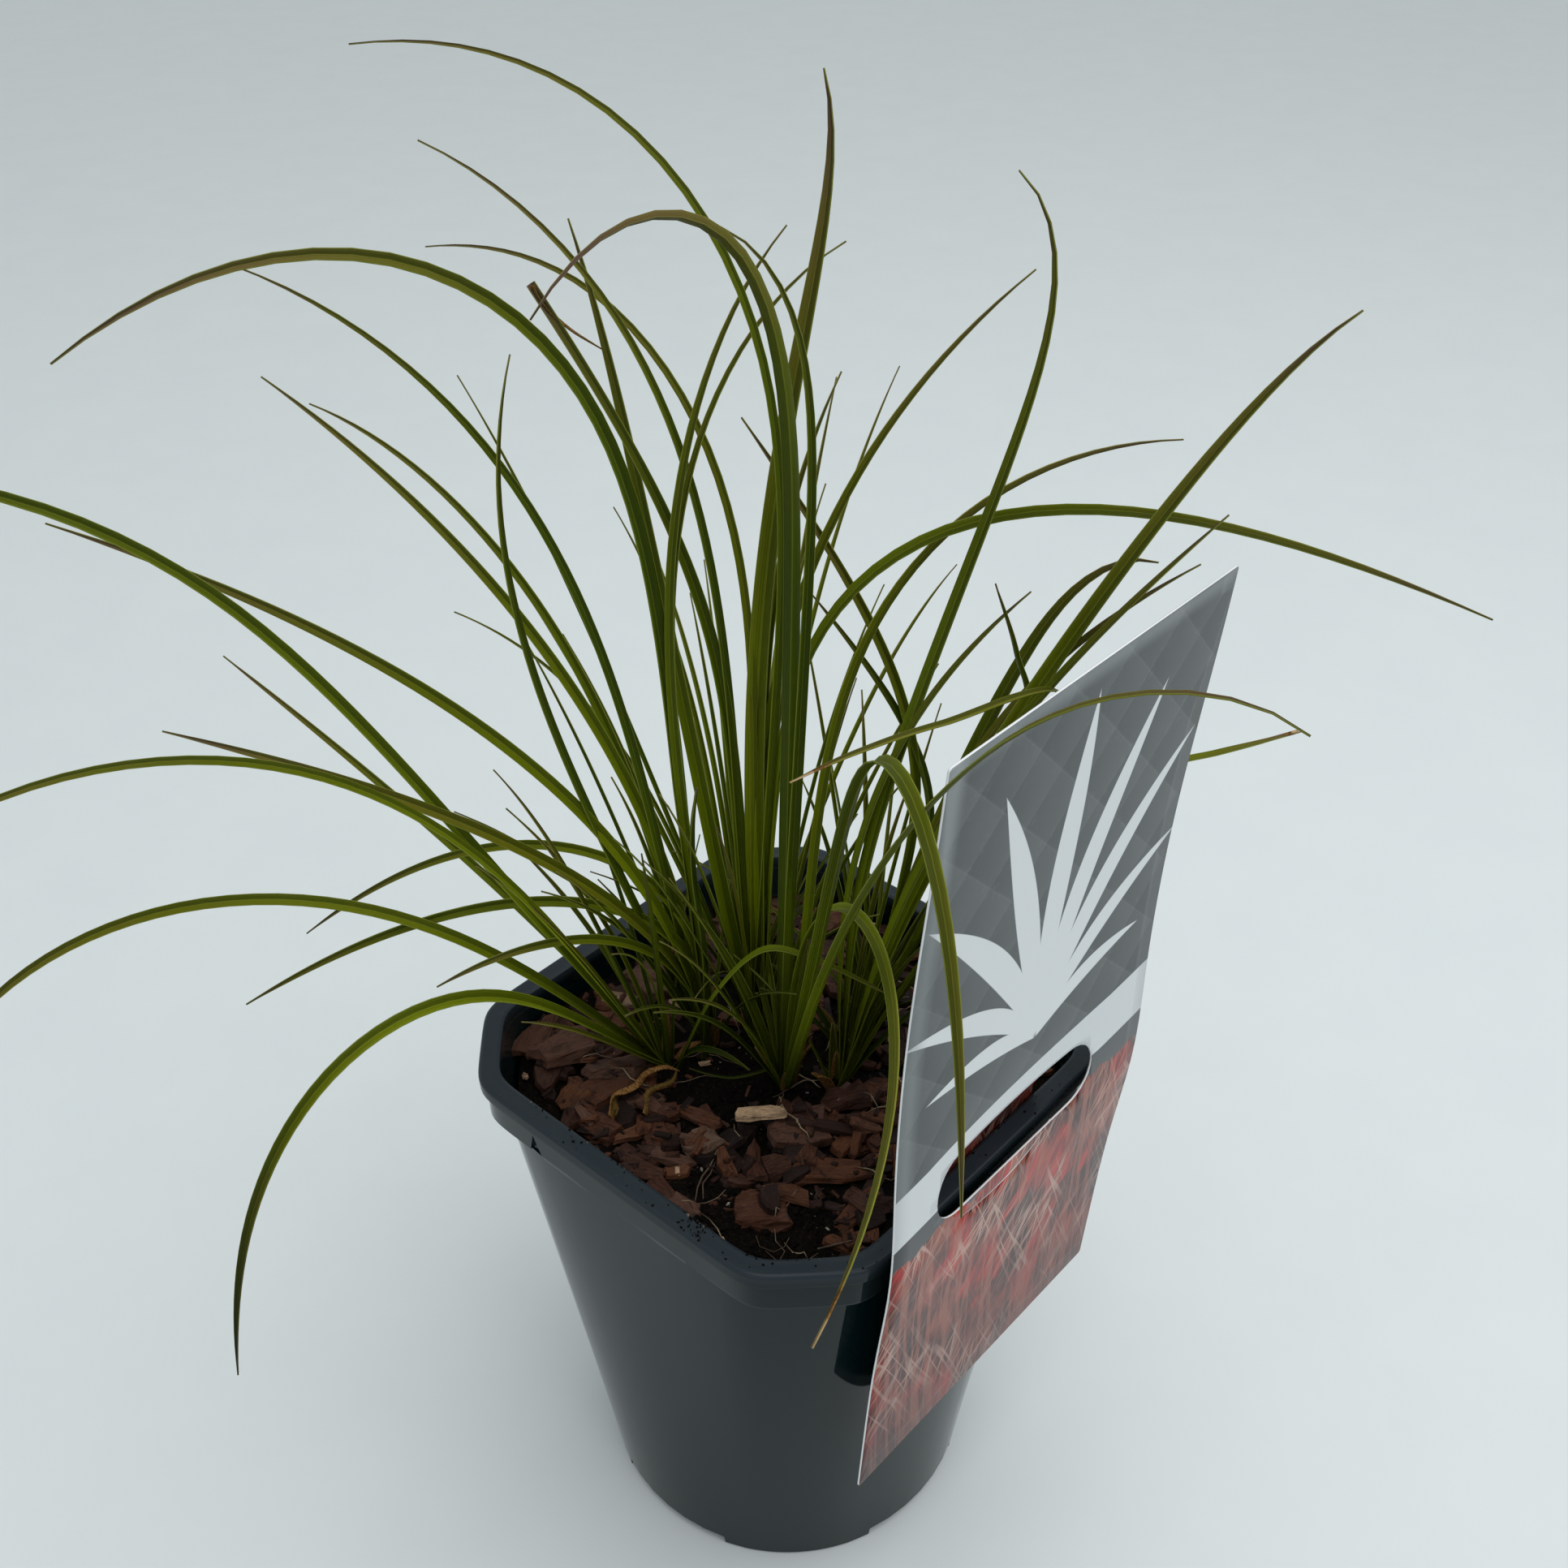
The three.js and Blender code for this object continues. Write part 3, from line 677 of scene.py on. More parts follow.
def add_crumb(bm, layer, chance, spot, size, tone):
    """One uneven lump, flattened where it lies."""
    turn = Matrix.Rotation(chance.between(0, TURN), 4, "Z")
    sides = (size, size * chance.between(0.5, 0.9), size * chance.between(0.4, 0.8), 1)
    lie = Matrix.Translation(spot) @ turn @ Matrix.Diagonal(sides)
    made = bmesh.ops.create_icosphere(bm, subdivisions=1, radius=1, matrix=lie)
    for vert in made["verts"]:
        vert.co += Vector((chance.jitter(1), chance.jitter(1), chance.jitter(1))) * 0.22 * size
        vert[layer] = tone


crumb_count = 2000
dirt_count = 130
chance = Chance(23)
bm = bmesh.new()
tone_layer = bm.verts.layers.float.new("tone")
for number in range(crumb_count):
    if number % 3:
        x, y, radius = bare_patches[number % len(bare_patches)]
        turn = chance.between(0, TURN)
        reach = radius * 1.5 * math.sqrt(chance.share())
        x += reach * math.cos(turn)
        y += reach * math.sin(turn)
    else:
        x, y = random_spot(chance, 4)
    size = 0.3 + 1.6 * chance.share() ** 4
    pale = chance.share() > 0.955
    if inside_pot(x, y, 4):
        size *= 0.5 if pale else 1
        spot = (x, y, soil_height(x, y) + 0.5)
        add_crumb(bm, tone_layer, chance, spot, size, chance.between(0.8, 1) if pale else 0)
for number in range(dirt_count):  # on the ledge, and half of it smeared at one place
    angle = (chance.between(150, 300) if number < 70 else chance.between(200, 206)) * DEGREE
    reach = rim_radius(angle, chance.between(0.8, 5.4) if number % 3 else 5.2)
    size = chance.between(0.15, 0.45)
    spot = (*spot_at(angle, reach), pot_height + 0.1)
    add_crumb(bm, tone_layer, chance, spot, size, 0.75 if number % 9 == 0 else 0.2)
turn_outwards(bm)
finish_piece("soil_crumbs", bm, [compost], "soil")

# %% [markdown]
# ## The bark mulch
#
# Growers cover the soil with chips of pine bark, broken and tumbled until their edges are worn.
# They could be one bumpy sheet, but real chips lie over and under each other, with black gaps
# between. So each chip is shaped on its own, from a circle drawn out to the chip's outline, and
# laid on what already lies there: a small map of heights remembers how high the pile has grown.

# %% Shape one chip
def shape_chip(chance, long, short, thick, fine, uneven=1):
    """A chip round the origin with its grain along X, in a bmesh of its own."""
    chip = bmesh.new()
    circle = bmesh.ops.create_circle(chip, cap_ends=True, segments=8, radius=1)
    blunt = chance.between(0.2, 0.6)  # a low number makes the chip more of a rectangle
    taper = chance.jitter(0.35) * uneven
    for vert in circle["verts"]:
        x, y, _ = vert.co
        x = math.copysign(abs(x) ** blunt, x) * (1 + chance.jitter(0.22) * uneven)
        y = math.copysign(abs(y) ** blunt, y) * (1 + chance.jitter(0.28) * uneven)
        y *= 1 + taper * x
        vert.co = (x * long / 2, y * short / 2, -thick / 2)
    top = bmesh.ops.extrude_face_region(chip, geom=chip.faces[:])["geom"]
    for vert in top:
        if isinstance(vert, bmesh.types.BMVert):
            inwards = 1 - chance.between(0.0, 0.22)
            rise = thick * (1 + chance.jitter(0.3) * uneven)
            vert.co = (vert.co.x * inwards, vert.co.y * inwards, vert.co.z + rise)
    bmesh.ops.bevel(
        chip,
        geom=chip.edges[:],
        offset=min(0.06 * thick, 0.04 * short) + 0.05,
        segments=1,
        profile=0.5,
        affect="EDGES",
        material=-1,
        clamp_overlap=True,
    )
    broad = [face for face in chip.faces if len(face.verts) == 8]
    for vert in bmesh.ops.poke(chip, faces=broad)["verts"]:
        vert.co.z += chance.jitter(0.22) * thick
    if fine:
        bmesh.ops.subdivide_edges(chip, edges=chip.edges[:], cuts=1, use_grid_fill=True)
        bmesh.ops.triangulate(chip, faces=[face for face in chip.faces if len(face.verts) > 4])
    bend = chance.jitter(0.22) * uneven / long
    twist = chance.jitter(0.4) * uneven / long
    offset = Vector((chance.between(0, 90), chance.between(0, 90), 0))
    for vert in chip.verts:
        x, y, z = vert.co
        roughen = noise.noise_vector(vert.co * 0.6 + offset) * (0.3 if fine else 0.12) * thick
        vert.co += Vector((0, 0, bend * x * x + twist * x * y)) + roughen
    turn_outwards(chip)
    return chip


def pour(pile, chip, matrix, tone, offset):
    """Adds a chip to the pile, with its tone and its own grain on it."""
    tones = chip.verts.layers.float.new("tone")
    grain = chip.loops.layers.uv.new("grain")
    for vert in chip.verts:
        vert[tones] = tone
        x, y, z = vert.co
        for loop in vert.link_loops:
            loop[grain].uv = ((x + 0.3 * z) / 50 + offset, (y + z) / 50 + offset * 3)
    bmesh.ops.transform(chip, matrix=matrix, verts=chip.verts[:])
    mesh = bpy.data.meshes.new("chip")
    chip.to_mesh(mesh)
    chip.free()
    pile.from_mesh(mesh)
    bpy.data.meshes.remove(mesh)


print("a chip starts from 8 corners")

# %% Lay a chip on what lies there already
map_step = 1.0
map_reach = 72
map_line = np.arange(-map_reach, map_reach + map_step, map_step)
map_x, map_y = np.meshgrid(map_line, map_line, indexing="ij")
pile_height = np.vectorize(soil_height)(map_x, map_y) + 0.6


def settle(x, y, long, short, thick, turn, steepest, sink=70):
    """Where a chip comes to rest, as a matrix. The map of heights then grows by the chip.

    It sinks between its neighbours until it bears on all but the highest part of them.
    """
    away_x = map_x - x
    away_y = map_y - y
    along = away_x * math.cos(turn) + away_y * math.sin(turn)
    sideways = away_y * math.cos(turn) - away_x * math.sin(turn)
    under = (abs(along) < 0.45 * long) & (abs(sideways) < 0.45 * short)
    heights = pile_height[under]
    slopes = np.stack([along[under], sideways[under], np.ones(len(heights))], axis=1)
    pitch, roll, _ = np.linalg.lstsq(slopes, heights, rcond=None)[0]
    pitch = float(np.clip(pitch, -steepest, steepest))
    roll = float(np.clip(roll, -steepest, steepest))
    plane = pitch * along + roll * sideways
    rest = float(np.percentile(heights - plane[under], sink)) - 0.15 * thick
    pile_height[under] = np.maximum(heights, rest + plane[under] + 0.85 * thick)
    lie = Matrix.Translation((x, y, rest + thick / 2)) @ Matrix.Rotation(turn, 4, "Z")
    lie @= Matrix.Rotation(-math.atan(pitch), 4, "Y")
    return lie @ Matrix.Rotation(math.atan(roll), 4, "X")


def pile_top(x, y):
    column = min(max(round((x - map_line[0]) / map_step), 0), len(map_line) - 1)
    row = min(max(round((y - map_line[0]) / map_step), 0), len(map_line) - 1)
    return float(pile_height[column, row])


crowns = {
    "tuft_middle": (4, 15),
    "tuft_middle_left": (-6, 25),
    "tuft_left": (-21, 27),
    "tuft_back": (15, 30),
    "tuft_front": (-5, -4),
    "tuft_front_right": (4, -15),
    "tuft_right": (17, -7),
    "tuft_far_right": (31, -5),
}


def free_for_bark(x, y, size):
    """Whether a chip may lie there: off the crowns, the bare soil and the label's tongue."""
    for crown_x, crown_y in crowns.values():
        if math.hypot(x - crown_x, y - crown_y) < 5.5 + 0.3 * size:
            return False
    for patch_x, patch_y, radius in bare_patches:
        if math.hypot(x - patch_x, y - patch_y) < radius - 2 + 0.25 * size:
            return False
    return not (y < -58 and -30 < x < 33)


print("the map of heights has", pile_height.size, "cells")

# %% Pile up the chips
# The chips that lie on top: x, y, long side, short side, turn in degrees and tone.
pale_stick = (-25, -12.5, 14.5, 4.6, -49, 1.0)
top_chips = [
    (-35, -19, 15, 6, 44, 0.55),
    (-32, -25, 8, 8, -37, 0.48),
    (-21, -38, 29, 8, -44, 0.72),
    (-46, -30, 14, 12, -36, 0.62),
    (-37, -33, 14, 6, -62, 0.8),
    (-13, -27, 30, 4, -50, 0.35),
    (0, -22, 14, 10, -41, 0.45),
    (-2, -35, 17, 8, -17, 0.52),
    (-29, -50, 10, 5, 80, 0.5),
    (-39, -56, 8, 5, 58, 0.62),
    (-39, 50, 26, 12, -7, 0.85),
    (-37, 34, 18, 12, -37, 0.87),
    (-51, 35, 9, 9, 3, 0.78),
    (-54, 23, 16, 9, -78, 0.6),
    (-48, 14, 15, 4, -13, 0.8),
    (-14, 53, 15, 5, -50, 0.93),
    (0, 53, 20, 14, -12, 0.88),
    (-42, 61, 19, 8, 15, 0.84),
    (-32, 5, 16, 4.5, -84, 0.66),
    (-48, 0, 14, 5, -62, 0.87),
    (-39, -3, 11, 9, -20, 0.91),
    (-56, 7, 11, 6, 85, 0.45),
    (-37, 14, 9, 7, -32, 0.6),
    (-44, 8, 10, 7, -3, 0.55),
    (-58, 2, 12, 5, -60, 0.5),
    (10, -56, 24, 8, 8, 0.45),
    (20, -44, 20, 9, 30, 0.66),
    (44, 22, 25, 9, 110, 0.5),
    (36, -30, 24, 10, 12, 0.4),
    (22, 50, 22, 10, 20, 0.58),
]
chance = Chance(41)
pile = bmesh.new()
pile.verts.layers.float.new("tone")
pile.loops.layers.uv.new("grain")


def lay_chip(x, y, long, short, turn, tone, fine=False, steepest=0.5, sink=70, uneven=1):
    thick = chance.between(0.1, 0.24) * short + 0.8
    chip = shape_chip(chance, long, short, thick, fine, uneven)
    resting = settle(x, y, long, short, thick, turn, steepest, sink)
    pour(pile, chip, resting, tone, chance.share() * 40)


def lay_top_chip(chip, **how):
    x, y, long, short, turn, tone = chip
    lay_chip(x, y, long, short, turn * DEGREE, tone, fine=True, **how)


def scatter_chips(count, longest, tones, shortest=7):
    laid = 0
    while laid < count:
        x, y = random_spot(chance, 7)
        long = shortest + (longest - shortest) * chance.share() ** 1.6
        if not free_for_bark(x, y, long) or not inside_pot(x, y, 3.5 + 0.24 * long):
            continue
        short = long * chance.between(0.28, 0.7)
        turn = chance.between(0, math.pi)
        lay_chip(x, y, long, short, turn, chance.between(*tones), laid % 5 == 0)
        laid += 1


scatter_chips(170, 18, (0.05, 0.88))
for chip in top_chips:
    lay_top_chip(chip, steepest=0.3, sink=75)
scatter_chips(60, 10, (0.1, 0.88))
lay_top_chip(pale_stick, steepest=0.1, sink=97, uneven=0.25)
print("chips laid, the pile now tops out at", round(float(pile_height.max()), 1), "mm")

# %% Fines between the chips
splinter_count = 420
chance = Chance(57)
for number in range(splinter_count):
    x, y = random_spot(chance, 5)
    long = chance.between(1.5, 6)
    if free_for_bark(x, y, 0) or number % 4 == 0:
        splinter = bmesh.new()
        bmesh.ops.create_cube(splinter, size=1)
        short = long * chance.between(0.2, 0.6)
        for vert in splinter.verts:
            vert.co.x *= long * chance.between(0.7, 1)
            vert.co.y *= short * chance.between(0.6, 1)
            vert.co.z *= min(short, 1.4) * chance.between(0.4, 0.9)
        tilt = Matrix.Rotation(chance.jitter(0.5), 4, "Y")
        tilt @= Matrix.Rotation(chance.jitter(0.5), 4, "X")
        lie = Matrix.Translation((x, y, pile_top(x, y) + 0.2))
        turn = Matrix.Rotation(chance.between(0, TURN), 4, "Z")
        tone = chance.between(0.1, 1) ** 1.5
        offset = chance.share() * 40
        if math.dist((x, y), pale_stick[:2]) > 9:  # nothing lies across the pale stick
            pour(pile, splinter, lie @ turn @ tilt, tone, offset)
print("pile faces:", len(pile.faces))

# %% [markdown]
# Broken bark is dull and reddest where it has just split, and the shade in its fissures and
# along the steps of its flakes is painted dark. Each chip could have a material of its own, but
# the chips differ in tone more than in kind. So one material reads each chip's tone, and draws
# its fibres along that chip's own grain.

# %% Bark
bark, place = new_finish("pine_bark", Specular_IOR_Level=0.22)
tone = place.attribute("tone")
grain = place.uv_map("grain")
fibres = grain.stretched(14, 90, 1).noise(1.0, 5.0, 0.65, 0.4)
layers = grain.stretched(9, 24, 1).noise(1.0, 3.0, 0.6, 0.3)
flake = (layers * 9).fraction()
flake_edge = abs(flake - 0.5).smooth(0.36, 0.5)
blotches = place.noise(0.12, 3.0, 0.6)
heart = tone.ramp(
    (0.0, (0.007, 0.003, 0.002)),
    (0.3, (0.022, 0.008, 0.005)),
    (0.55, (0.056, 0.018, 0.009)),
    (0.78, (0.115, 0.038, 0.013)),
    (0.9, (0.092, 0.050, 0.038)),
    (0.97, (0.60, 0.40, 0.24)),
)
split = (fibres.smooth(0.45, 0.7) * tone.smooth(0.2, 0.6) * 0.5).mix(heart, (0.12, 0.05, 0.027))
# The fissures and the edges of the flakes are painted nearly black, as painted shade.
crevices = (1 - fibres.smooth(0.3, 0.52)) * 0.75 + flake_edge * 0.3
creviced = crevices.mix(split, (0.010, 0.004, 0.003))
weathered = (blotches.smooth(0.52, 0.66) * 0.2).mix(creviced, (0.10, 0.06, 0.045))
drive(
    bark,
    Base_Color=(blotches.smooth(0.3, 0.5) * 0.6 + 0.4).mix((0.008, 0.004, 0.003), weathered),
    Roughness=fibres * 0.25 + 0.55,
    Normal=(fibres * 0.5 + (layers * 9 - flake) / 4).bump(1.0, 0.9),
)
finish_piece("bark_chips", pile, [bark], "bark", ["bark_mulch"])

# %% [markdown]
# ## The label
#
# The label is a thin printed card. A slot is punched across it, the tongue above the slot bends
# in over the rim and holds the card, and a curved slit below the slot lets the card flex. It
# could be a box with holes cut by booleans, but paper-thin things are truer as one flat sheet:
# its outlines are drawn, filled, sliced across so that it can bend, bent, and then thickened.

# %% Sizes of the label
card_thickness = 0.55
card_width = 109
card_above_hinge = 160
card_below_hinge = 88
card_lean = 3.4 * DEGREE
card_hinge = Vector((4.4, -75.4, 166))
slot_width = 68
slot_middle = -3.3
slot_from = 8
slot_to = 27
slit_from = -27
slit_length = 40
tongue_width = 54


def on_card(across, up, out=0.4):
    """A point of the card, across and up it from the hinge line, and out of its back."""
    y = card_hinge.y - up * math.sin(card_lean) - out * math.cos(card_lean)
    z = card_hinge.z + up * math.cos(card_lean) - out * math.sin(card_lean)
    return Vector((card_hinge.x + across, y, z))


def card_bend(across, up):
    """How far the card bulges: pushed out by the rim, leaning in above it, drawn in at the slot."""
    near_slot = math.exp(-(((up - slot_to) / 9) ** 2)) if up > slot_from + 6 else 0
    drawn_in = -2.0 * near_slot * max(0, 1 - ((across - slot_middle) / 40) ** 2)
    pushed_out = 2.0 * math.exp(-(((up - 4) / 30) ** 2))
    leaning_in = -1.8 * math.exp(-(((up - 85) / 50) ** 2))
    return 0.4 + drawn_in + pushed_out + leaning_in


print("the card is", card_width, "by", card_above_hinge + card_below_hinge, "mm")

# %% Cut the card out and slice it
def closed_outline(bm, points):
    verts = [bm.verts.new((x, y, 0)) for x, y in points]
    return [bm.edges.new((vert, verts[k - 1])) for k, vert in enumerate(verts)]


def arc(centre, radius, start, end, steps):
    """Points of an arc, with its angles in degrees."""
    angles = [(start + (end - start) * k / steps) * DEGREE for k in range(steps + 1)]
    return [(centre[0] + radius * math.cos(a), centre[1] + radius * math.sin(a)) for a in angles]


def slice_sheet(bm, place, facing):
    sheet = bm.verts[:] + bm.edges[:] + bm.faces[:]
    bmesh.ops.bisect_plane(bm, geom=sheet, plane_co=place, plane_no=facing)


half = card_width / 2
corner_radius = 1
right = half - corner_radius
top = card_above_hinge - corner_radius
bottom = corner_radius - card_below_hinge
end_radius = (slot_to - slot_from) / 2
end_middle = slot_width / 2 - end_radius
slot_height = slot_from + end_radius
bm = bmesh.new()
outline = []
for quarter, corner in enumerate([(right, top), (-right, top), (-right, bottom), (right, bottom)]):
    outline += arc(corner, corner_radius, quarter * 90, quarter * 90 + 90, 4)
edges = closed_outline(bm, outline)
right_end = arc((slot_middle + end_middle, slot_height), end_radius, -90, 90, 14)
left_end = arc((slot_middle - end_middle, slot_height), end_radius, 90, 270, 14)
edges += closed_outline(bm, right_end + left_end)
slit_steps = 24
lower = []
upper = []
for k in range(slit_steps + 1):
    share = k / slit_steps
    x = slit_from + slit_length * share
    y = 2.2 + 12 * (share - 0.42) ** 2 + 2.2 * share**4
    gape = 0.12 + 0.75 * math.sin(math.pi * share) ** 2 * share
    lower.append((x, y - gape))
    upper.append((x, y))
edges += closed_outline(bm, lower + upper[::-1])
bmesh.ops.triangle_fill(bm, use_beauty=True, edges=edges, normal=(0, 0, 1))
for up in range(-80, 156, 6):
    slice_sheet(bm, (0, up, 0), (0, 1, 0))
for across in range(-48, 49, 6):
    slice_sheet(bm, (across, 0, 0), (1, 0, 0))
print("flat card:", len(bm.faces), "faces")

# %% Bend the card and hang the tongue
paper_map = bm.loops.layers.uv.new("print")
map_side = 250  # millimetres that the print's map spans


def print_place(across, up):
    return (across + half) / map_side, (up + card_below_hinge) / map_side


for face in bm.faces:
    for loop in face.loops:
        loop[paper_map].uv = print_place(loop.vert.co.x, loop.vert.co.y)
for vert in bm.verts:
    vert.co = on_card(vert.co.x, vert.co.y, card_bend(vert.co.x, vert.co.y))

tongue_top = slot_to + 0.2
rim_inside = -(rim_half_width - rim_ledge) + 0.75
start = on_card(0, tongue_top, card_bend(slot_middle, tongue_top))
tongue_path = [(start.y, start.z)]
for share in (0.12, 0.3, 0.5, 0.7, 0.86, 1.0):
    y = start.y + (rim_inside - start.y) * share
    z = start.z + (pot_height + 1.6 - start.z) * share**1.15
    tongue_path.append((y + 0.5 * math.sin(share * math.pi), z))
tongue_path += [(rim_inside + 0.25, pot_height - 2), (rim_inside + 0.4, soil_level + 4)]
grid = bmesh.ops.create_grid(bm, x_segments=10, y_segments=len(tongue_path) - 1, size=1)
travelled = [0.0]
for here, there in zip(tongue_path, tongue_path[1:]):
    travelled.append(travelled[-1] + math.dist(here, there))
for vert in grid["verts"]:
    row = round((1 - vert.co.y) / 2 * (len(tongue_path) - 1))
    narrow = 1 - 0.12 * (travelled[row] / travelled[-1]) ** 3
    across = slot_middle + vert.co.x * tongue_width / 2 * narrow
    for loop in vert.link_loops:  # its print runs on from below the slot
        loop[paper_map].uv = print_place(across, tongue_top - travelled[row] - 26)
    vert.co = (card_hinge.x + across, *tongue_path[row])
smooth_all(bm)
print("tongue is", round(travelled[-1], 1), "mm long")

# %% [markdown]
# The print is drawn by formulas that read a place on the card in millimetres: a grey quilted
# panel with a plain fan of leaves, a light band left bare, and warm reed-like streaks below.
# A silvery highlight is painted along the panel's left and top edges.
# It could be an image file, but a formula stays sharp at any size and needs no file.

# %% The print
def card_finish(name):
    material, place = new_finish(name, IOR=1.32)
    sheet = place.uv_map("print")
    across = sheet.part("X") * map_side - half
    up = sheet.part("Y") * map_side - card_below_hinge
    return material, sheet, across, up


def leaf_mark(across, up, turn, length, width, arch):
    """1 inside a slender leaf that grows from the origin at some turn and arches outwards."""
    along = (across * math.sin(turn) + up * math.cos(turn)) / length
    sideways = across * math.cos(turn) - up * math.sin(turn) - along * along * arch
    return (along * (1 - along) * (2 * width) - abs(sideways)).smooth(0.0, 0.3)


def strands(sheet, turn, spacing, width):
    """Long wandering lines at some turn: where a stretched noise crosses its middle."""
    leaning = sheet.stretched(map_side, map_side, 1, turn=(0, 0, turn))
    leaning = leaning.stretched(1 / spacing, 0.007, 1)
    return 1 - abs(leaning.noise(1.0, 2.0, 0.5, 0.1) - 0.5).smooth(width / 3, width)


face_print, sheet, across, up = card_finish("printed_card_face")
paper = sheet.stretched(map_side, map_side, 1)
quilt_spacing = 21
first = (across + up) / quilt_spacing
second = (across - up) / quilt_spacing
from_first = abs(first.fraction() - 0.5)
from_second = abs(second.fraction() - 0.5)
seam = from_first.smooth(0.455, 0.5) + from_second.smooth(0.455, 0.5)
cloudy = paper.noise(0.07, 4.0, 0.6)
quilt_tone = cloudy * 0.35 + first.fraction() * 0.22 + second.fraction() * 0.2 + seam * 0.12
crinkled = paper.noise(0.45, 4.0, 0.7, 0.6).smooth(0.52, 0.66)
seamy = from_first.smooth(0.2, 0.5) + from_second.smooth(0.2, 0.5)
quilt_tone = quilt_tone + crinkled * seamy * 0.12
quilt = quilt_tone.ramp((0.2, (0.050, 0.060, 0.060)), (0.75, (0.118, 0.130, 0.131)))
from_fan_foot = up - 47
fan = leaf_mark(across, from_fan_foot, 0, 106, 9, 0)
mirrored = abs(across)
side_leaves = ((10, 98, 9, 15), (21, 84, 9, 25), (35, 62, 8, 26), (52, 42, 7, 20))
for turn, length, width, arch in side_leaves:
    leaf = leaf_mark(mirrored, from_fan_foot, turn * DEGREE, length, width, arch)
    fan = fan.math("MAXIMUM", fan, leaf)
panel = fan.mix(quilt, (0.70, 0.73, 0.74))
# A painted highlight: the panel's left and top edges are painted silvery, where the card's edge
# catches the light.
silvered = (1 - (across + half).smooth(2.5, 8)) * 0.45
silvered = silvered + (up - card_above_hinge).smooth(-6, -1) * 0.35
panel = silvered.mix(panel, (0.40, 0.43, 0.44))
murk = sheet.stretched(map_side, 120, 1).noise(0.07, 4.0, 0.65)
ground = murk.ramp(
    (0.35, (0.012, 0.003, 0.004)),
    (0.5, (0.095, 0.022, 0.018)),
    (0.64, (0.30, 0.085, 0.055)),
)
glowing = sheet.stretched(map_side, 170, 1).noise(0.045, 3.0, 0.6, 0.4).smooth(0.46, 0.6)
red = (strands(sheet, 0.25, 9, 0.07) * 0.6 + 0.4) * glowing
reddened = (red * 0.9).mix(ground, (0.48, 0.028, 0.022))
ember = strands(sheet, -0.12, 6, 0.05) * 0.6
warmed = ember.mix(reddened, (0.36, 0.12, 0.08))
bunched = paper.noise(0.03, 2.0, 0.5).smooth(0.42, 0.62) * 0.7 + 0.08
strawy = warmed
for turn, spacing, width in ((0.5, 7, 0.02), (-0.45, 8, 0.018), (0.9, 10, 0.016), (0.1, 5, 0.02)):
    strawy = (strands(sheet, turn, spacing, width) * bunched).mix(strawy, (0.54, 0.35, 0.29))
level = up - across * 0.046
deep = (1 - level.smooth(-80, -10)) * 0.4
strawy = deep.mix(strawy, (0.07, 0.022, 0.02))
top_of_reeds = 9.5 + (murk - 0.5) * 14
under_band = (level - top_of_reeds).smooth(-0.6, 0.6).mix(strawy, (0.085, 0.09, 0.095))
band = level.smooth(17.4, 17.6).mix(under_band, (0.66, 0.69, 0.71))
whole = level.smooth(35.1, 35.3).mix(band, panel)
rubbed = paper.noise(1.6, 3.0, 0.7).smooth(0.62, 0.75)
near_edge = abs(across).smooth(half - 5, half)
drive(
    face_print,
    Base_Color=(rubbed * near_edge * 0.7).mix(whole, (0.42, 0.44, 0.45)),
    Roughness=cloudy * 0.12 + 0.24,
    Normal=cloudy.bump(0.05, 0.3),
)
back_print, sheet, across, up = card_finish("printed_card_back")
faded = sheet.stretched(map_side, map_side, 1).noise(0.05, 3.0, 0.6)
drive(
    back_print,
    Base_Color=faded.mix((0.006, 0.007, 0.007), (0.012, 0.013, 0.013)),
    Roughness=faded * 0.1 + 0.22,
)
core, place = new_finish("white_card_core", Roughness=0.5)
drive(core, Base_Color=place.noise(1.0).mix((0.78, 0.80, 0.81), (0.84, 0.85, 0.86)))
card = finish_piece("label_card", bm, [face_print, back_print, core], "label_card", ["plant_label"])
thicken = card.modifiers.new("card_thickness", "SOLIDIFY")
thicken.thickness = card_thickness * MM
thicken.offset = -1
thicken.material_offset = 1
thicken.material_offset_rim = 2

# %% [markdown]
# ## How the clump grows
#
# Each blade rises from its tuft's crown and arches over under its own weight. Blades could be
# placed by hand as curves, but there are about a hundred, and they have to stand where the
# packed model has them. So a blade is one short rule: where it heads, how it leans at its foot
# and at its tip, and where and how sharply it bends. Where two tufts' blades would cross, the
# later one turns aside a degree or two, exactly as it does in the packed model.

# %% The blades of each tuft
def blade(
    heading, length, base_lean, tip_lean, bend_at, sharpness, width,
    sweep=0, flick=0, breadth=1, reach=1, **looks,
):
    """Angles are in degrees: headings from +X towards +Y, and leans from upright.

    Breadth and reach make a dressed blade slimmer and shorter than it is packed, and its looks
    go to add_blade.
    """
    return locals()


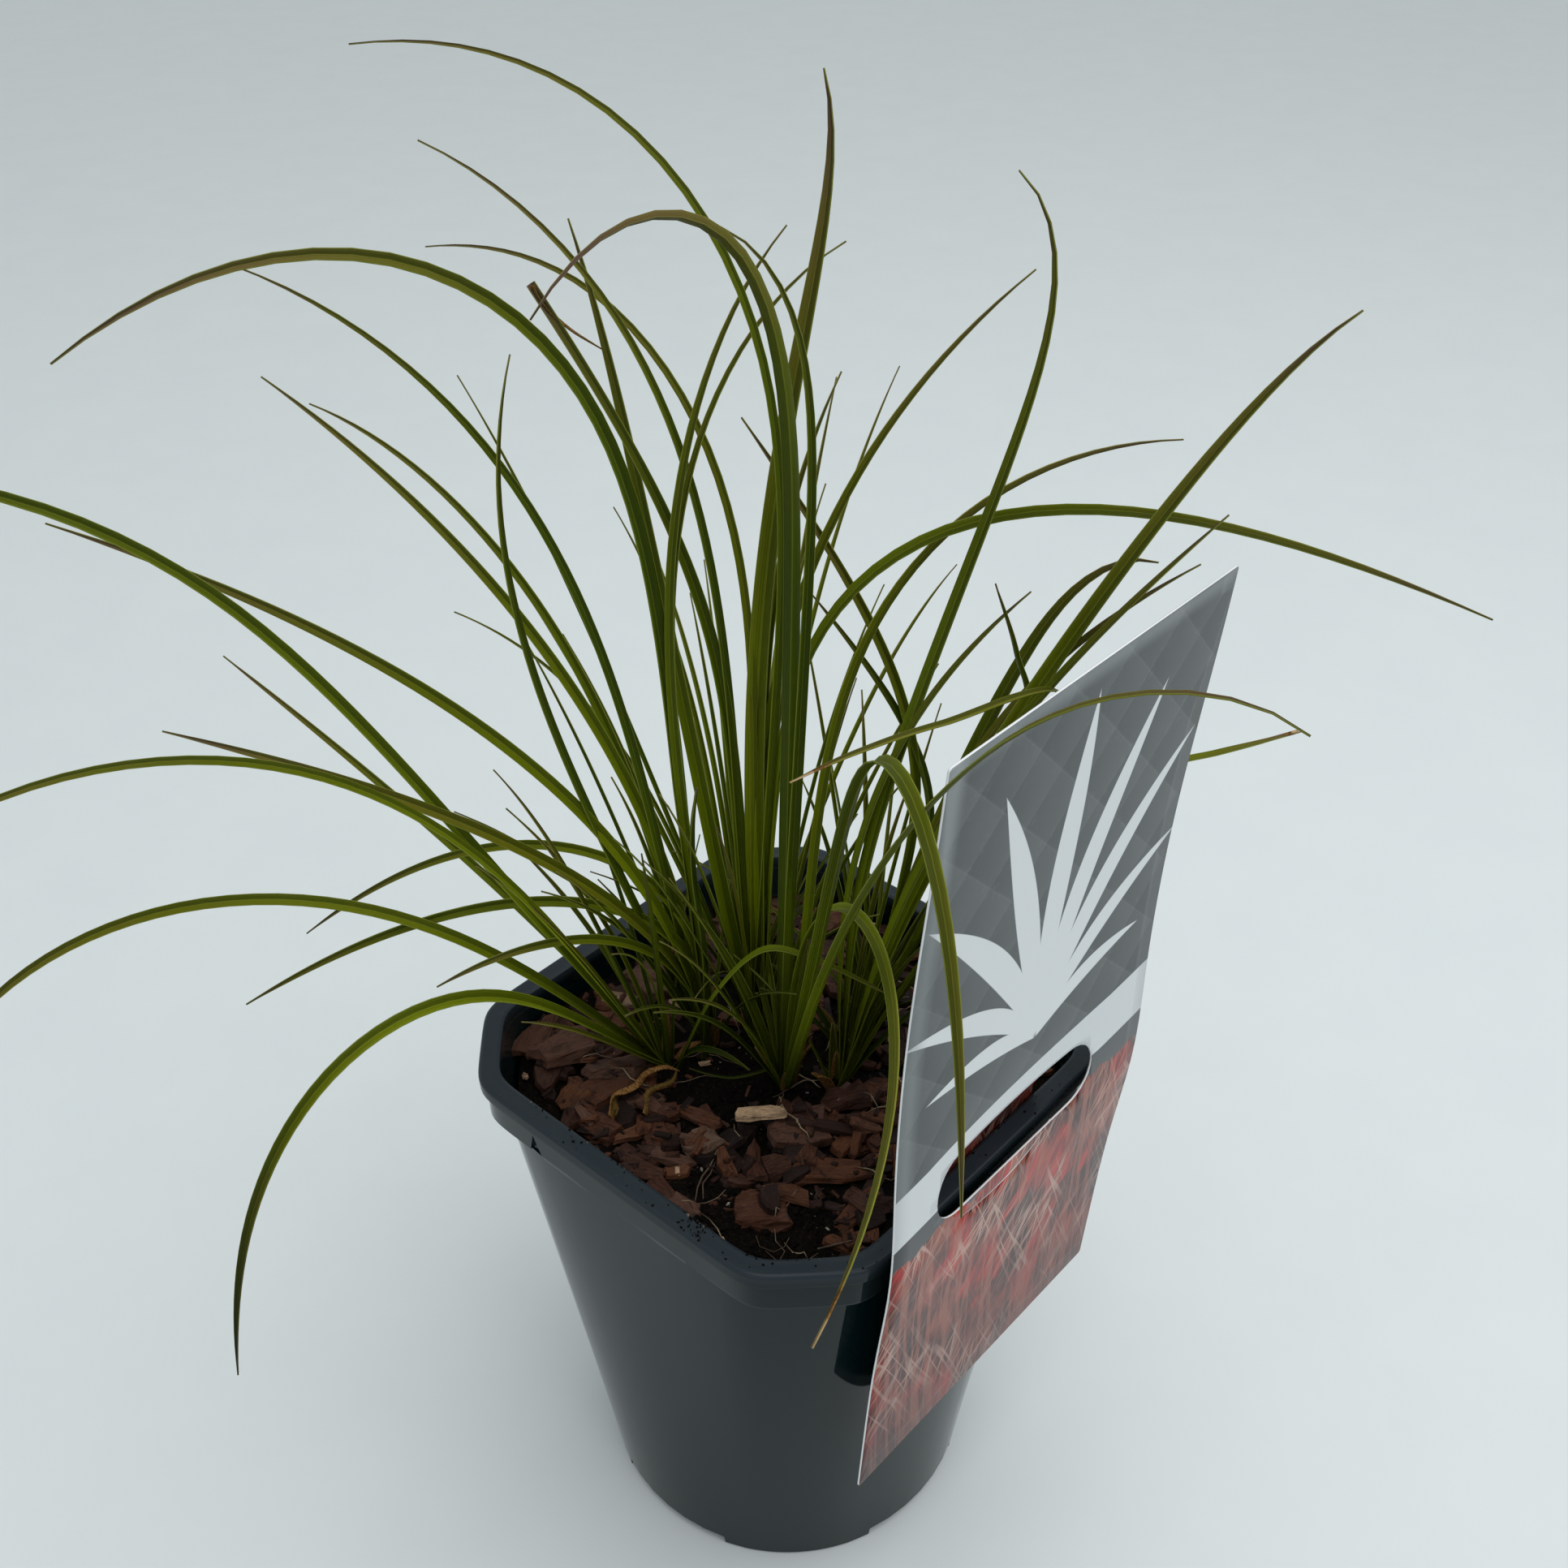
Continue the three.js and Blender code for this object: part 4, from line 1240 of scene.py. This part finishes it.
long_blades = {
    "tuft_middle": [
        blade(103, 348, -4, 101, 0.77, 7, 3.2, breadth=0.72, tone=0.2, ripe=0.6),
        blade(117, 279, 2, 70, 1.1, 4.7, 3.0, breadth=0.85, tone=0.12, ripe=0.7),
        blade(324, 273, -2, 17, 1, 2.4, 4.2, flick=-34, breadth=1.35, tone=0.62),
        blade(87, 306, -1, 106, 0.7, 6.5, 2.6, breadth=0.85, tone=0.72),
        blade(119, 233, 2, 32, 0.67, 5.6, 3.6, blunt=0.5, tone=0.2),
        blade(103, 239, 10, 19, 1.25, 8.5, 3.0, breadth=1.3, tone=0.32),
        blade(292, 312, 2, 107, 0.6, 5, 3.2, tone=0.34),
        blade(354, 204, 0, 36, 1.13, 4.6, 2.4),
        blade(328, 245, -2, 55, 1.27, 2.6, 2.6),
    ],
    "tuft_middle_left": [
        blade(162, 335, 3, 120, 0.83, 6, 3.6, breadth=1.15, tone=0.08, twist=-80, ripe=1, roll=25),
        blade(133, 264, 8, 68, 1.2, 3.8, 3.4, breadth=0.75, tone=0.1, ripe=0.3),
        blade(112, 232, 4, 60, 1.6, 1.4, 3.2, tone=0.46),
        blade(100, 228, 12, 85, 1.45, 2.5, 2.6),
        blade(147, 245, 4, 61, 1.2, 1.1, 3.4),
        blade(158, 201, 0, 58, 0.4, 1, 3.6),
        blade(147, 169, -6, 118, 0.44, 1.8, 3.0),
        blade(128, 175, 0, 132, 0.46, 3, 2.8),
        blade(163, 112, 6, 103, 0.9, 1.7, 3.0),
        blade(353, 246, -6, 55, 2, 3.8, 2.6, tone=0.28),
        blade(339, 249, -5, 70, 1.55, 4.3, 2.4, breadth=0.85, tone=0.34),
        blade(147, 222, 18, -17, 1.4, 3.8, 2.6),
    ],
    "tuft_left": [
        blade(150, 327, 27, 95, 0.77, 6.5, 3.4),
        blade(103, 176, 42, 64, 0.45, 1, 2.6),
        blade(166, 275, 24, 126, 1.2, 3, 3.4, breadth=0.75),
        blade(141, 259, 39, 157, 0.78, 2.7, 3.2),
        blade(173, 220, 38, 172, 0.55, 4.4, 3.6),
    ],
    "tuft_front": [
        blade(182, 312, -1.5, 131, 0.9, 9.4, 3.6, breadth=1.2, tone=0.1, twist=35, ripe=1.1, roll=45),
        blade(122, 252, -2.5, 71, 1.6, 12, 3.0, tone=0.1),
        blade(325, 241, 2, 95, 0.84, 5.2, 2.6),
        blade(230, 285, 30, 76, 1.25, 7.5, 3.0, sweep=61, flick=49),
        blade(235.5, 290, 21, 171, 0.7, 10.6, 4.0),
        blade(246, 236, 3.5, 121, 0.59, 2.4, 3.2, sweep=-60, dry=0.925, blunt=0.1),
    ],
    "tuft_front_right": [
        blade(301, 266, 1, 16, 0.3, 4, 3.6, flick=-70),
        blade(296, 261, 10, 30, 0.65, 1.4, 4.4, flick=18),
        blade(287, 217, 9, 37, 0.78, 1.9, 3.0),
        blade(293.5, 178, -3, 40, 1.43, 2, 3.0),
    ],
    "tuft_right": [
        blade(296, 191, 13.5, 24, 1.23, 2.4, 3.2, flick=80, breadth=1.45, tone=0.3),
        blade(283, 202, 14.5, 48, 0.87, 3.7, 2.8),
    ],
    "tuft_far_right": [
        blade(137, 204, -14, 33, 0.52, 4.5, 3.0, tone=0.62),
        blade(132, 157, -16, 36, 0.56, 5.4, 2.8),
    ],
}
# Shorter blades that fill a tuft: how many, and the ranges of their headings, lengths and leans.
fillings = {
    "tuft_middle": [(6, (-20, 110), (130, 210), (8, 26)), (4, (150, 200), (110, 180), (6, 24))],
    "tuft_middle_left": [(6, (60, 190), (110, 200), (8, 30))],
    "tuft_left": [(7, (60, 200), (90, 180), (10, 40))],
    "tuft_back": [(12, (0, 115), (150, 245), (8, 34))],
    "tuft_front": [(5, (90, 200), (90, 170), (6, 30))],
    "tuft_front_right": [(5, (270, 360), (90, 170), (6, 24))],
    "tuft_right": [(6, (-60, 40), (90, 180), (10, 36))],
    "tuft_far_right": [(7, (-50, 80), (90, 190), (10, 40))],
}
print("long blades:", sum(len(blades) for blades in long_blades.values()))

# %% The course of a blade
blade_steps = 24
blade_offset = 2


def blade_course(foot, shape, steps=blade_steps):
    """Places along a blade, with the direction and the sideways direction at each."""
    turn = shape["heading"] * DEGREE
    sharpness = shape["sharpness"]
    bend = shape["bend_at"] ** sharpness
    along = (np.arange(steps + 1) + 0.5) / steps
    share = along**sharpness * (1 + bend) / (along**sharpness + bend)
    tilt = shape["base_lean"] + (shape["tip_lean"] - shape["base_lean"]) * share
    lean = (tilt + shape["flick"] * along**14) * DEGREE
    facing = turn + shape["sweep"] * along**2.5 * DEGREE
    flat = np.stack([np.cos(facing), np.sin(facing)], axis=1)
    directions = np.column_stack([np.sin(lean)[:, None] * flat, np.cos(lean)])
    sideways = np.column_stack([-flat[:, 1], flat[:, 0], 0 * facing])
    start = [foot[0] + blade_offset * math.cos(turn), foot[1] + blade_offset * math.sin(turn)]
    strides = np.cumsum(directions[:-1], axis=0) * shape["length"] / steps
    places = np.array([*start, soil_level]) + np.vstack([np.zeros(3), strides])
    return places, directions, sideways


def blade_width(width, along):
    """Widest at its middle, a little narrower at the foot, and drawn out to a point."""
    body = np.maximum(0, 1 - along**2.4) ** 0.8
    return width * (0.72 + 0.28 * np.minimum(1, 6 * along)) * body


def packed_sections(foot, shape):
    """The few sections that the packed model has of a blade: their places and widths."""
    length = shape["length"]
    stride = 2 if length > 225 else 3 if length > 165 else 4
    places = blade_course(foot, shape)[0][::stride]
    along = np.arange(0, blade_steps + 1, stride) / blade_steps
    return places, blade_width(shape["width"], along)


test = blade_course((0, 0), long_blades["tuft_middle"][0])[0]
print("the longest blade ends", round(float(test[-1][2])), "mm above the ground")

# %% Keep blades of different tufts apart
def stretch_distances(a, b, c, d):
    """Shortest distances between each stretch a-b and each stretch c-d."""
    u = (b - a)[:, None]
    v = (d - c)[None]
    w = a[:, None] - c[None]
    uu, uv, vv = (u * u).sum(-1), (u * v).sum(-1), (v * v).sum(-1)
    uw, vw = (u * w).sum(-1), (v * w).sum(-1)
    spread = uu * vv - uv * uv
    guess = np.where(spread > 1e-9, (uv * vw - vv * uw) / np.maximum(spread, 1e-9), 0)
    on_second = np.clip((vw + np.clip(guess, 0, 1) * uv) / vv, 0, 1)
    on_first = np.clip((on_second * uv - uw) / uu, 0, 1)
    gaps = w + u * on_first[..., None] - v * on_second[..., None]
    return np.sqrt((gaps * gaps).sum(-1))


def blades_clear(one, other):
    places, widths = one
    others, other_widths = other
    room = (widths[:-1, None] + other_widths[None, :-1]) / 2 + 0.5
    return (stretch_distances(places[:-1], places[1:], others[:-1], others[1:]) >= room).all()


def clear_of_holder(places):
    """Whether a blade stays clear of the label and of the pot's rim."""
    room = 3
    shares = np.arange(12)[None, :, None] / 12
    x, y, z = (places[:-1, None] * (1 - shares) + places[1:, None] * shares).reshape(-1, 3).T
    from_hinge_y = y - card_hinge.y
    from_hinge_z = z - card_hinge.z
    up = from_hinge_z * math.cos(card_lean) - from_hinge_y * math.sin(card_lean)
    out = -from_hinge_y * math.cos(card_lean) - from_hinge_z * math.sin(card_lean)
    at_card = (abs(x - card_hinge.x) < half + room) & (abs(out - 0.4) < room + 0.4)
    at_card &= (up > -card_below_hinge - room) & (up < card_above_hinge + room)
    flats = np.maximum(abs(x), abs(y)) - rim_half_width
    corners = (abs(x) + abs(y)) / math.sqrt(2) - rim_corner_distance
    beyond = np.maximum(flats, corners)
    at_rim = (z < pot_height + room) & (beyond > -rim_ledge - room) & (beyond < room)
    return not (at_card | at_rim).any()


nudges = [(turn * 1.5, tilt * 1.5) for turn in range(-8, 9) for tilt in range(-4, 5)]
nudges.sort(key=lambda nudge: nudge[0] ** 2 + 2 * nudge[1] ** 2)
print("a blade may be nudged in", len(nudges), "ways")

# %% Grow the clump
chance = Chance(7)
grown = []  # a tuft's name, a blade's shape and its packed sections


def grow(name, shape):
    others = [sections for other, _, sections in grown if other != name]
    for turn, tilt in nudges:
        heading = shape["heading"] + turn
        base_lean = shape["base_lean"] + tilt
        nudged = {**shape, "heading": heading, "base_lean": base_lean}
        sections = packed_sections(crowns[name], nudged)
        if not clear_of_holder(sections[0]):
            continue
        if all(blades_clear(sections, other) for other in others):
            grown.append((name, nudged, sections))
            return


for name, blades in long_blades.items():
    for shape in blades:
        grow(name, shape)
for name, filling in fillings.items():
    for count, headings, lengths, leans in filling:
        for _ in range(count):
            heading = chance.between(*headings)
            length = chance.between(*lengths)
            base_lean = chance.between(*leans)
            tip_lean = base_lean + chance.between(20, 75)
            width = chance.between(2.4, 3.6)
            bend_at = chance.between(0.8, 1.4)
            sharpness = chance.between(1.5, 4)
            shape = blade(heading, length, base_lean, tip_lean, bend_at, sharpness, width)
            # The young leaves inside the clump are slimmer when dressed, and end earlier.
            shape["breadth"] = 0.48
            shape["reach"] = 0.88 if name == "tuft_back" else 0.68
            grow(name, shape)
print("blades grown:", len(grown))
for name in crowns:
    low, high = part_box(name)
    ends = np.vstack([sections[0] for other, _, sections in grown if other == name])
    print(name, "packed from", [round(v / MM) for v in low], "to", [round(v / MM) for v in high])
    print("   grown from", ends.min(0).round().tolist(), "to", ends.max(0).round().tolist())

# %% [markdown]
# ## Leaves
#
# A sedge's leaf is a long strap folded along its midrib, with fine veins side by side, a paler
# keel and thin pale edges. It is dark among the others at the crown, where its sheaths are damp
# and the shade of the other blades is painted into its colour, fresh yellow-green above it, and
# dries to bronze at the tip; one half of its fold is painted darker as the half in shade. It could
# be a curve with a bevel, but each blade here is a flat grid, folded and bent along its course,
# so that the veins and the colours can follow the grid's own map, and thickened last.

# %% Fold and bend a grid into a blade
def leaf_width(width, along):
    """A living blade: broad where it clasps the crown, and drawn out to a fine point."""
    return width * (0.98 + 0.16 * math.exp(-along / 0.12)) * max(0, 1 - along**3.6) ** 0.75


def between_places(course, along):
    """The place, the direction and the sideways direction at some share of a course."""
    step = along * (len(course[0]) - 1)
    low = min(int(step), len(course[0]) - 2)
    return [line[low] * (1 - step + low) + line[low + 1] * (step - low) for line in course]


plain_looks = dict(age=0, twist=0, fold=0.7, blunt=0, dry=1, fade=18, ripe=0, roll=0)


def add_blade(bm, course, width, tone, rows=44, **looks):
    """Tone runs from dark green to bronze, and age from fresh to straw. Twist is in degrees.

    A dry tip begins at some share of the length and is all straw after another 1 / fade of it.
    Over its outer half a blade may ripen by some more tone and roll by some more twist.
    """
    age, twist, fold, blunt, dry, fade, ripe, roll = {**plain_looks, **looks}.values()
    uv = bm.loops.layers.uv["leaf"]
    tone_layer = bm.verts.layers.float["tone"]
    age_layer = bm.verts.layers.float["age"]
    grid = bmesh.ops.create_grid(bm, x_segments=4, y_segments=rows, size=1)
    middle = set()
    for vert in grid["verts"]:
        share = vert.co.x
        along = (vert.co.y + 1) / 2
        here, direction, across = between_places(course, along)
        up = np.cross(direction, across)
        outer = max(0, along - 0.45) / 0.55
        angle = (twist * min(1, along / 0.3) + roll * outer) * DEGREE
        turned = across * math.cos(angle) + up * math.sin(angle)
        up = up * math.cos(angle) - across * math.sin(angle)
        wide = max(leaf_width(width, along), 0.3 + blunt * width)
        closed = max(0, 1 - along / 0.1)  # the foot is folded almost shut
        height = wide * fold * (1 + closed) * (0.36 * abs(share) ** 1.2 - 0.16)
        vert.co = here - turned * (share * wide * (1 - 0.25 * closed) / 2) + up * height
        vert[tone_layer] = tone + ripe * outer**2
        vert[age_layer] = max(age, min(1, (along - dry) * fade))
        for loop in vert.link_loops:
            loop[uv].uv = ((share + 1) / 2, along)
        if abs(share) < 0.01:
            middle.add(vert)
    for edge in {edge for vert in middle for edge in vert.link_edges}:
        edge.smooth = not middle.issuperset(edge.verts)


def guided_course(points):
    """A smooth course through a few places, with as steady a sideways direction as can be."""
    points = np.array(points, float)
    ends = 2 * points[[0, -1]] - points[[1, -2]]
    padded = np.vstack([ends[:1], points, ends[1:]])
    places = []
    for at in np.linspace(0, len(points) - 1, 40):
        low = min(int(at), len(points) - 2)
        t = at - low
        a, b, c, d = padded[low : low + 4]
        bend = (2 * a - 5 * b + 4 * c - d) * t * t + (3 * b - a - 3 * c + d) * t**3
        places.append(b + ((c - a) * t + bend) / 2)
    places = np.array(places)
    directions = np.gradient(places, axis=0)
    directions /= np.linalg.norm(directions, axis=1)[:, None]
    sideways = [np.cross((0, 0, 1), directions[-1] + (0.001, 0, 0))]
    for direction in directions[::-1]:
        across = sideways[0] - direction * np.dot(sideways[0], direction)
        sideways.insert(0, across / np.linalg.norm(across))
    return places, directions, np.array(sideways[:-1])


def sunk(course, depth=4):
    """The same course with its foot a little down in the soil."""
    places, directions, sideways = course
    feet = (places[:1] - directions[:1] * depth, directions[:1], sideways[:1])
    return [np.vstack([foot, line]) for foot, line in zip(feet, course)]


print("a blade keeps", len(plain_looks), "looks of its own")

# %% The leaf's finish
leaf_finish, place = new_finish(
    "sedge_leaf",
    Specular_IOR_Level=0.07,
    Subsurface_Weight=0.1,
    Subsurface_Scale=0.001,
    Subsurface_Radius=(0.5, 1.0, 0.1),
)
leaf_map = place.uv_map("leaf")
across = leaf_map.part("X")
along = leaf_map.part("Y")
tone = place.attribute("tone")
age = place.attribute("age")
patchy = place.noise(0.035, 3.0, 0.6)
shift = along + (patchy - 0.5) * 0.25 + (tone - 0.5) * 0.3
fresh = shift.ramp(
    (0.0, (0.42, 0.48, 0.01)),
    (0.1, (0.32, 0.40, 0.002)),
    (0.35, (0.19, 0.235, 0.002)),
    (0.65, (0.125, 0.14, 0.003)),
    (0.88, (0.145, 0.118, 0.022)),
    (1.0, (0.17, 0.10, 0.055)),
)
bronzed = (tone.smooth(0.5, 1.0) * 0.6).mix(fresh, (0.15, 0.135, 0.006))
dark = (1 - tone.smooth(0.0, 0.5)) * (0.82 - along.smooth(0.6, 0.95) * 0.5)
darkened = dark.mix(bronzed, (0.020, 0.046, 0.004))
tipped = (along + tone * 0.06).smooth(0.93, 1.02).mix(darkened, (0.13, 0.07, 0.055))
fleck = leaf_map.stretched(3, 60, 1).noise(1.0, 4.0, 0.6)
brown = fleck.smooth(0.4, 0.6).mix((0.11, 0.045, 0.016), (0.33, 0.16, 0.05))
straw = age.smooth(0.87, 0.98).mix(brown, (0.55, 0.38, 0.20))
dried = (age * 1.6 - 0.3).smooth(0.0, 0.5).mix(tipped, straw)
living = 1 - (age * 2).smooth(0.4, 1.2)
# Low down the blades are painted darker: partly their damp sheaths, partly painted shade where the
# blades shade each other.
low_down = 1 - place.part("Z").smooth(soil_level, soil_level + 76)
damp = low_down * (0.98 - tone * 0.28) * living
shaded = damp.mix(dried, (0.004, 0.009, 0.001))
veins = (across * (2 * math.pi * 9)).sine() * 0.5 + 0.5
keel = 1 - abs(across - 0.5).smooth(0.0, 0.07)
edge = abs(across - 0.5).smooth(0.455, 0.5)
# One half of the fold is painted darker, as the half in shade.
shaded_half = across.smooth(0.47, 0.53) * 0.42
veined = (veins * 0.2 + fleck * 0.2 + shaded_half).mix(shaded, (0.02, 0.03, 0.002))
lined = (keel * 0.25 + edge * 0.4) * living * (1 - damp * 0.8)
keeled = lined.mix(veined, (0.30, 0.33, 0.05))
drive(
    leaf_finish,
    Base_Color=keeled,
    Roughness=fleck * 0.15 + age * 0.2 + 0.38,
    Normal=(veins * 0.6 + keel).bump(0.09, 0.7),
)

# %% Dress each tuft
# Leaves that follow no rule: a torn tip that hangs down, a dark leaf that stands on its own,
# and blades that are bent by their neighbours. Each has its tuft, its looks and its course.
odd_leaves = [
    (
        "tuft_middle",
        dict(width=1.5, tone=0.9, age=0.8),
        [(-21, 59, 378), (-20, 58, 375), (-18, 56, 371), (-15, 53, 367), (-11, 48, 363)],
    ),
    (
        "tuft_middle_left",
        dict(width=4.2, tone=0.0, fold=0.9, blunt=0.3),
        [(-12, 21, 152), (-15, 17, 197), (-16, 19, 225), (-16, 19, 241), (-15, 18, 254)],
    ),
    (
        "tuft_left",
        dict(width=2.4, tone=0.3),
        [(-21, 25, 152), (-22, 8, 192), (-16, -5, 213),
         (-7, -15, 210), (2, -25, 202), (6, -30, 198)],
    ),
    (
        "tuft_left",
        dict(width=2.6, tone=0.5, age=0.85, fold=1.5, twist=150),
        [(-50, 20, 160), (-45, 25, 161), (-39, 23, 162),
         (-33, 25, 161), (-28, 22, 162), (-25, 19, 160)],
    ),
    (
        "tuft_left",
        dict(width=1.7, tone=0.5, age=0.85, fold=1.5, twist=-120),
        [(-43, 14, 160), (-38, 18, 162), (-31, 16, 162), (-25, 20, 160)],
    ),
    (
        "tuft_front",
        dict(width=0.9, tone=0.3),
        [(2, -4, 157), (-4, 0, 159), (-11, 2, 160), (-17, 6, 160), (-21, 11, 161), (-23, 17, 161)],
    ),
    (
        "tuft_right",
        dict(width=2.3, tone=1.0, dry=0.84, fade=11),
        [(18, -9, 152), (36, -46, 240), (24, -64, 298),
         (-24, -64, 314), (-48, -60, 317), (-63, -56, 316)],
    ),
    (
        "tuft_right",
        dict(width=2.2, tone=0.2),
        [(17, -8, 152), (27, -36, 235), (30, -50, 282), (24, -50, 304), (13, -50, 327)],
    ),
    (
        "tuft_far_right",
        dict(width=2.8, tone=0.7, dry=0.91, blunt=0.4),
        [(32, -7, 152), (46, -42, 235), (62, -64, 256),
         (84, -76, 257), (99, -80, 254.5), (115, -84, 252)],
    ),
]
extras = Chance(91)
leaf_thickness = 0.32
open_front = (0.66, -0.75)  # the side that the blades turn their faces to
shoots_each = 4
sheaths_each = 4
dressed_steps = 48
for name, crown in crowns.items():
    bm = bmesh.new()
    bm.loops.layers.uv.new("leaf")
    bm.verts.layers.float.new("tone")
    bm.verts.layers.float.new("age")
    for other, shape, _ in grown:
        if other == name:
            grown_steps = round(dressed_steps * shape["reach"])
            full = blade_course(crown, shape, dressed_steps)
            course = sunk([line[: grown_steps + 1] for line in full])
            turn = shape["heading"] * DEGREE
            frontal = open_front[0] * math.cos(turn) + open_front[1] * math.sin(turn)
            twist = frontal * extras.between(40, 75)
            tone = extras.between(0.05, 1)
            fold = extras.between(0.5, 0.95)
            looks = {"tone": tone, "twist": twist, "fold": fold, **shape["looks"]}
            add_blade(bm, course, shape["width"] * shape["breadth"], **looks)
    for other, looks, places in odd_leaves:
        if other == name:
            add_blade(bm, guided_course(places), **looks)
    shoots = 0
    while shoots < shoots_each:  # short young shoots that thicken the clump's foot
        heading = extras.between(0, 360)
        lean = extras.between(2, 34)
        shape = blade(heading, extras.between(30, 95), lean, lean + extras.between(5, 60), 1, 2, 2)
        course = blade_course(crown, shape)
        if clear_of_holder(course[0]):
            thin = extras.between(1.0, 2.0)
            tone = extras.between(0, 0.6)
            add_blade(bm, sunk(course), thin, tone, twist=extras.jitter(50), rows=18)
            shoots += 1
    for _ in range(sheaths_each):  # old sheaths, split and brown, round the crown
        turn = extras.between(0, 360)
        spot = (
            crown[0] + extras.between(0, 1.5) * math.cos(turn * DEGREE),
            crown[1] + extras.between(0, 1.5) * math.sin(turn * DEGREE),
        )
        lean = extras.between(4, 26)
        shape = blade(turn, extras.between(8, 20), lean, lean + extras.between(0, 40), 1, 2, 3)
        wide = extras.between(2.2, 3.4)
        age = extras.between(0.3, 0.8)
        course = sunk(blade_course(spot, shape, 12))
        add_blade(bm, course, wide, 0.5, age=age, fold=1.3, blunt=0.1, rows=8)
    smooth_all(bm)
    leaves = finish_piece(name.replace("tuft", "leaves"), bm, [leaf_finish], "leaf", [name])
    thick = leaves.modifiers.new("leaf_thickness", "SOLIDIFY")
    thick.thickness = leaf_thickness * MM
    thick.offset = 0

# %% [markdown]
# ## Straws, roots and loose fibres
#
# Bits of dry leaf and root lie on the mulch and hang over the rim. They could be hairs from a
# particle system, but there are only a few dozen, and each should lie on the bark. So each is a
# thin tube, lofted along a short wandering line.

# %% A thin tube along a line
tube_sides = 5


def add_tube(bm, points, radius):
    """A tube that tapers to both ends."""
    rings = []
    count = len(points)
    angles = [side / tube_sides * 2 * math.pi for side in range(tube_sides)]
    for number, point in enumerate(points):
        before = Vector(points[max(number - 1, 0)])
        after = Vector(points[min(number + 1, count - 1)])
        turn = (after - before).to_track_quat("Z", "Y").to_matrix()
        thick = radius * (0.35 + 0.65 * math.sin(math.pi * (number + 0.5) / count))
        spokes = [Vector((*spot_at(angle, thick), 0)) for angle in angles]
        rings.append([Vector(point) + turn @ spoke for spoke in spokes])
    loft(bm, rings)


short_fibres = 34
chance = Chance(77)
bm = bmesh.new()
for number in range(short_fibres):
    x, y = random_spot(chance, 8)
    heading = chance.between(0, TURN)
    points = []
    for step in range(9):
        points.append((x, y, pile_top(x, y) + 0.3 + 0.8 * math.sin(step / 8 * math.pi)))
        heading += chance.jitter(0.4)
        x += chance.between(1, 2.6) * math.cos(heading)
        y += chance.between(1, 2.6) * math.sin(heading)
    if all(inside_pot(px, py, 5) for px, py, _ in points):
        add_tube(bm, points, chance.between(0.1, 0.26))
# Longer roots and straws, each by the places it passes and its radius.
long_fibres = [
    (0.3, [(-39, -9), (-43, -10), (-47, -11), (-51, -13), (-55, -16)]),
    (0.24, [(-41, -10), (-45, -12), (-49, -13), (-53, -17)]),
    (0.22, [(-57, -20), (-57, -23), (-58, -27), (-59.5, -30)]),
    (0.2, [(-50, -43), (-50.5, -45), (-51, -47), (-50, -48.5), (-49, -49), (-50, -51)]),
    (0.16, [(-53, -50), (-50, -51.5), (-47, -52)]),
    (0.35, [(-46, -51), (-43, -54), (-40, -57.5)]),
    (0.14, [(-55, -41), (-55.5, -45), (-57, -48)]),
    (0.14, [(-48, -38), (-51, -41), (-52, -45), (-55, -46)]),
    (0.12, [(-53, -36), (-55, -39), (-54, -43), (-51, -44), (-48, -43)]),
    (0.2, [(-27, -4), (-30, -7), (-31, -10)]),
]
for radius, fibre in long_fibres:
    add_tube(bm, [(x, y, pile_top(x, y) + 0.9) for x, y in fibre], radius)
turn_outwards(bm)
smooth_all(bm)
fibre_finish, place = new_finish("dry_fibre", Roughness=0.7)
dryness = place.noise(0.12, 3.0).smooth(0.4, 0.7)
drive(fibre_finish, Base_Color=dryness.mix((0.07, 0.04, 0.022), (0.36, 0.28, 0.17)))
finish_piece("loose_fibres", bm, [fibre_finish], "leaf")

# %% [markdown] ## Measure the dressed plant It is meant to fill the packed one's box and
# no more.

# %% Print the two boxes
bpy.context.view_layer.update()
dressed_box = [list(corner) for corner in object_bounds()]
print("packed ", cad_box)
print("dressed", dressed_box)
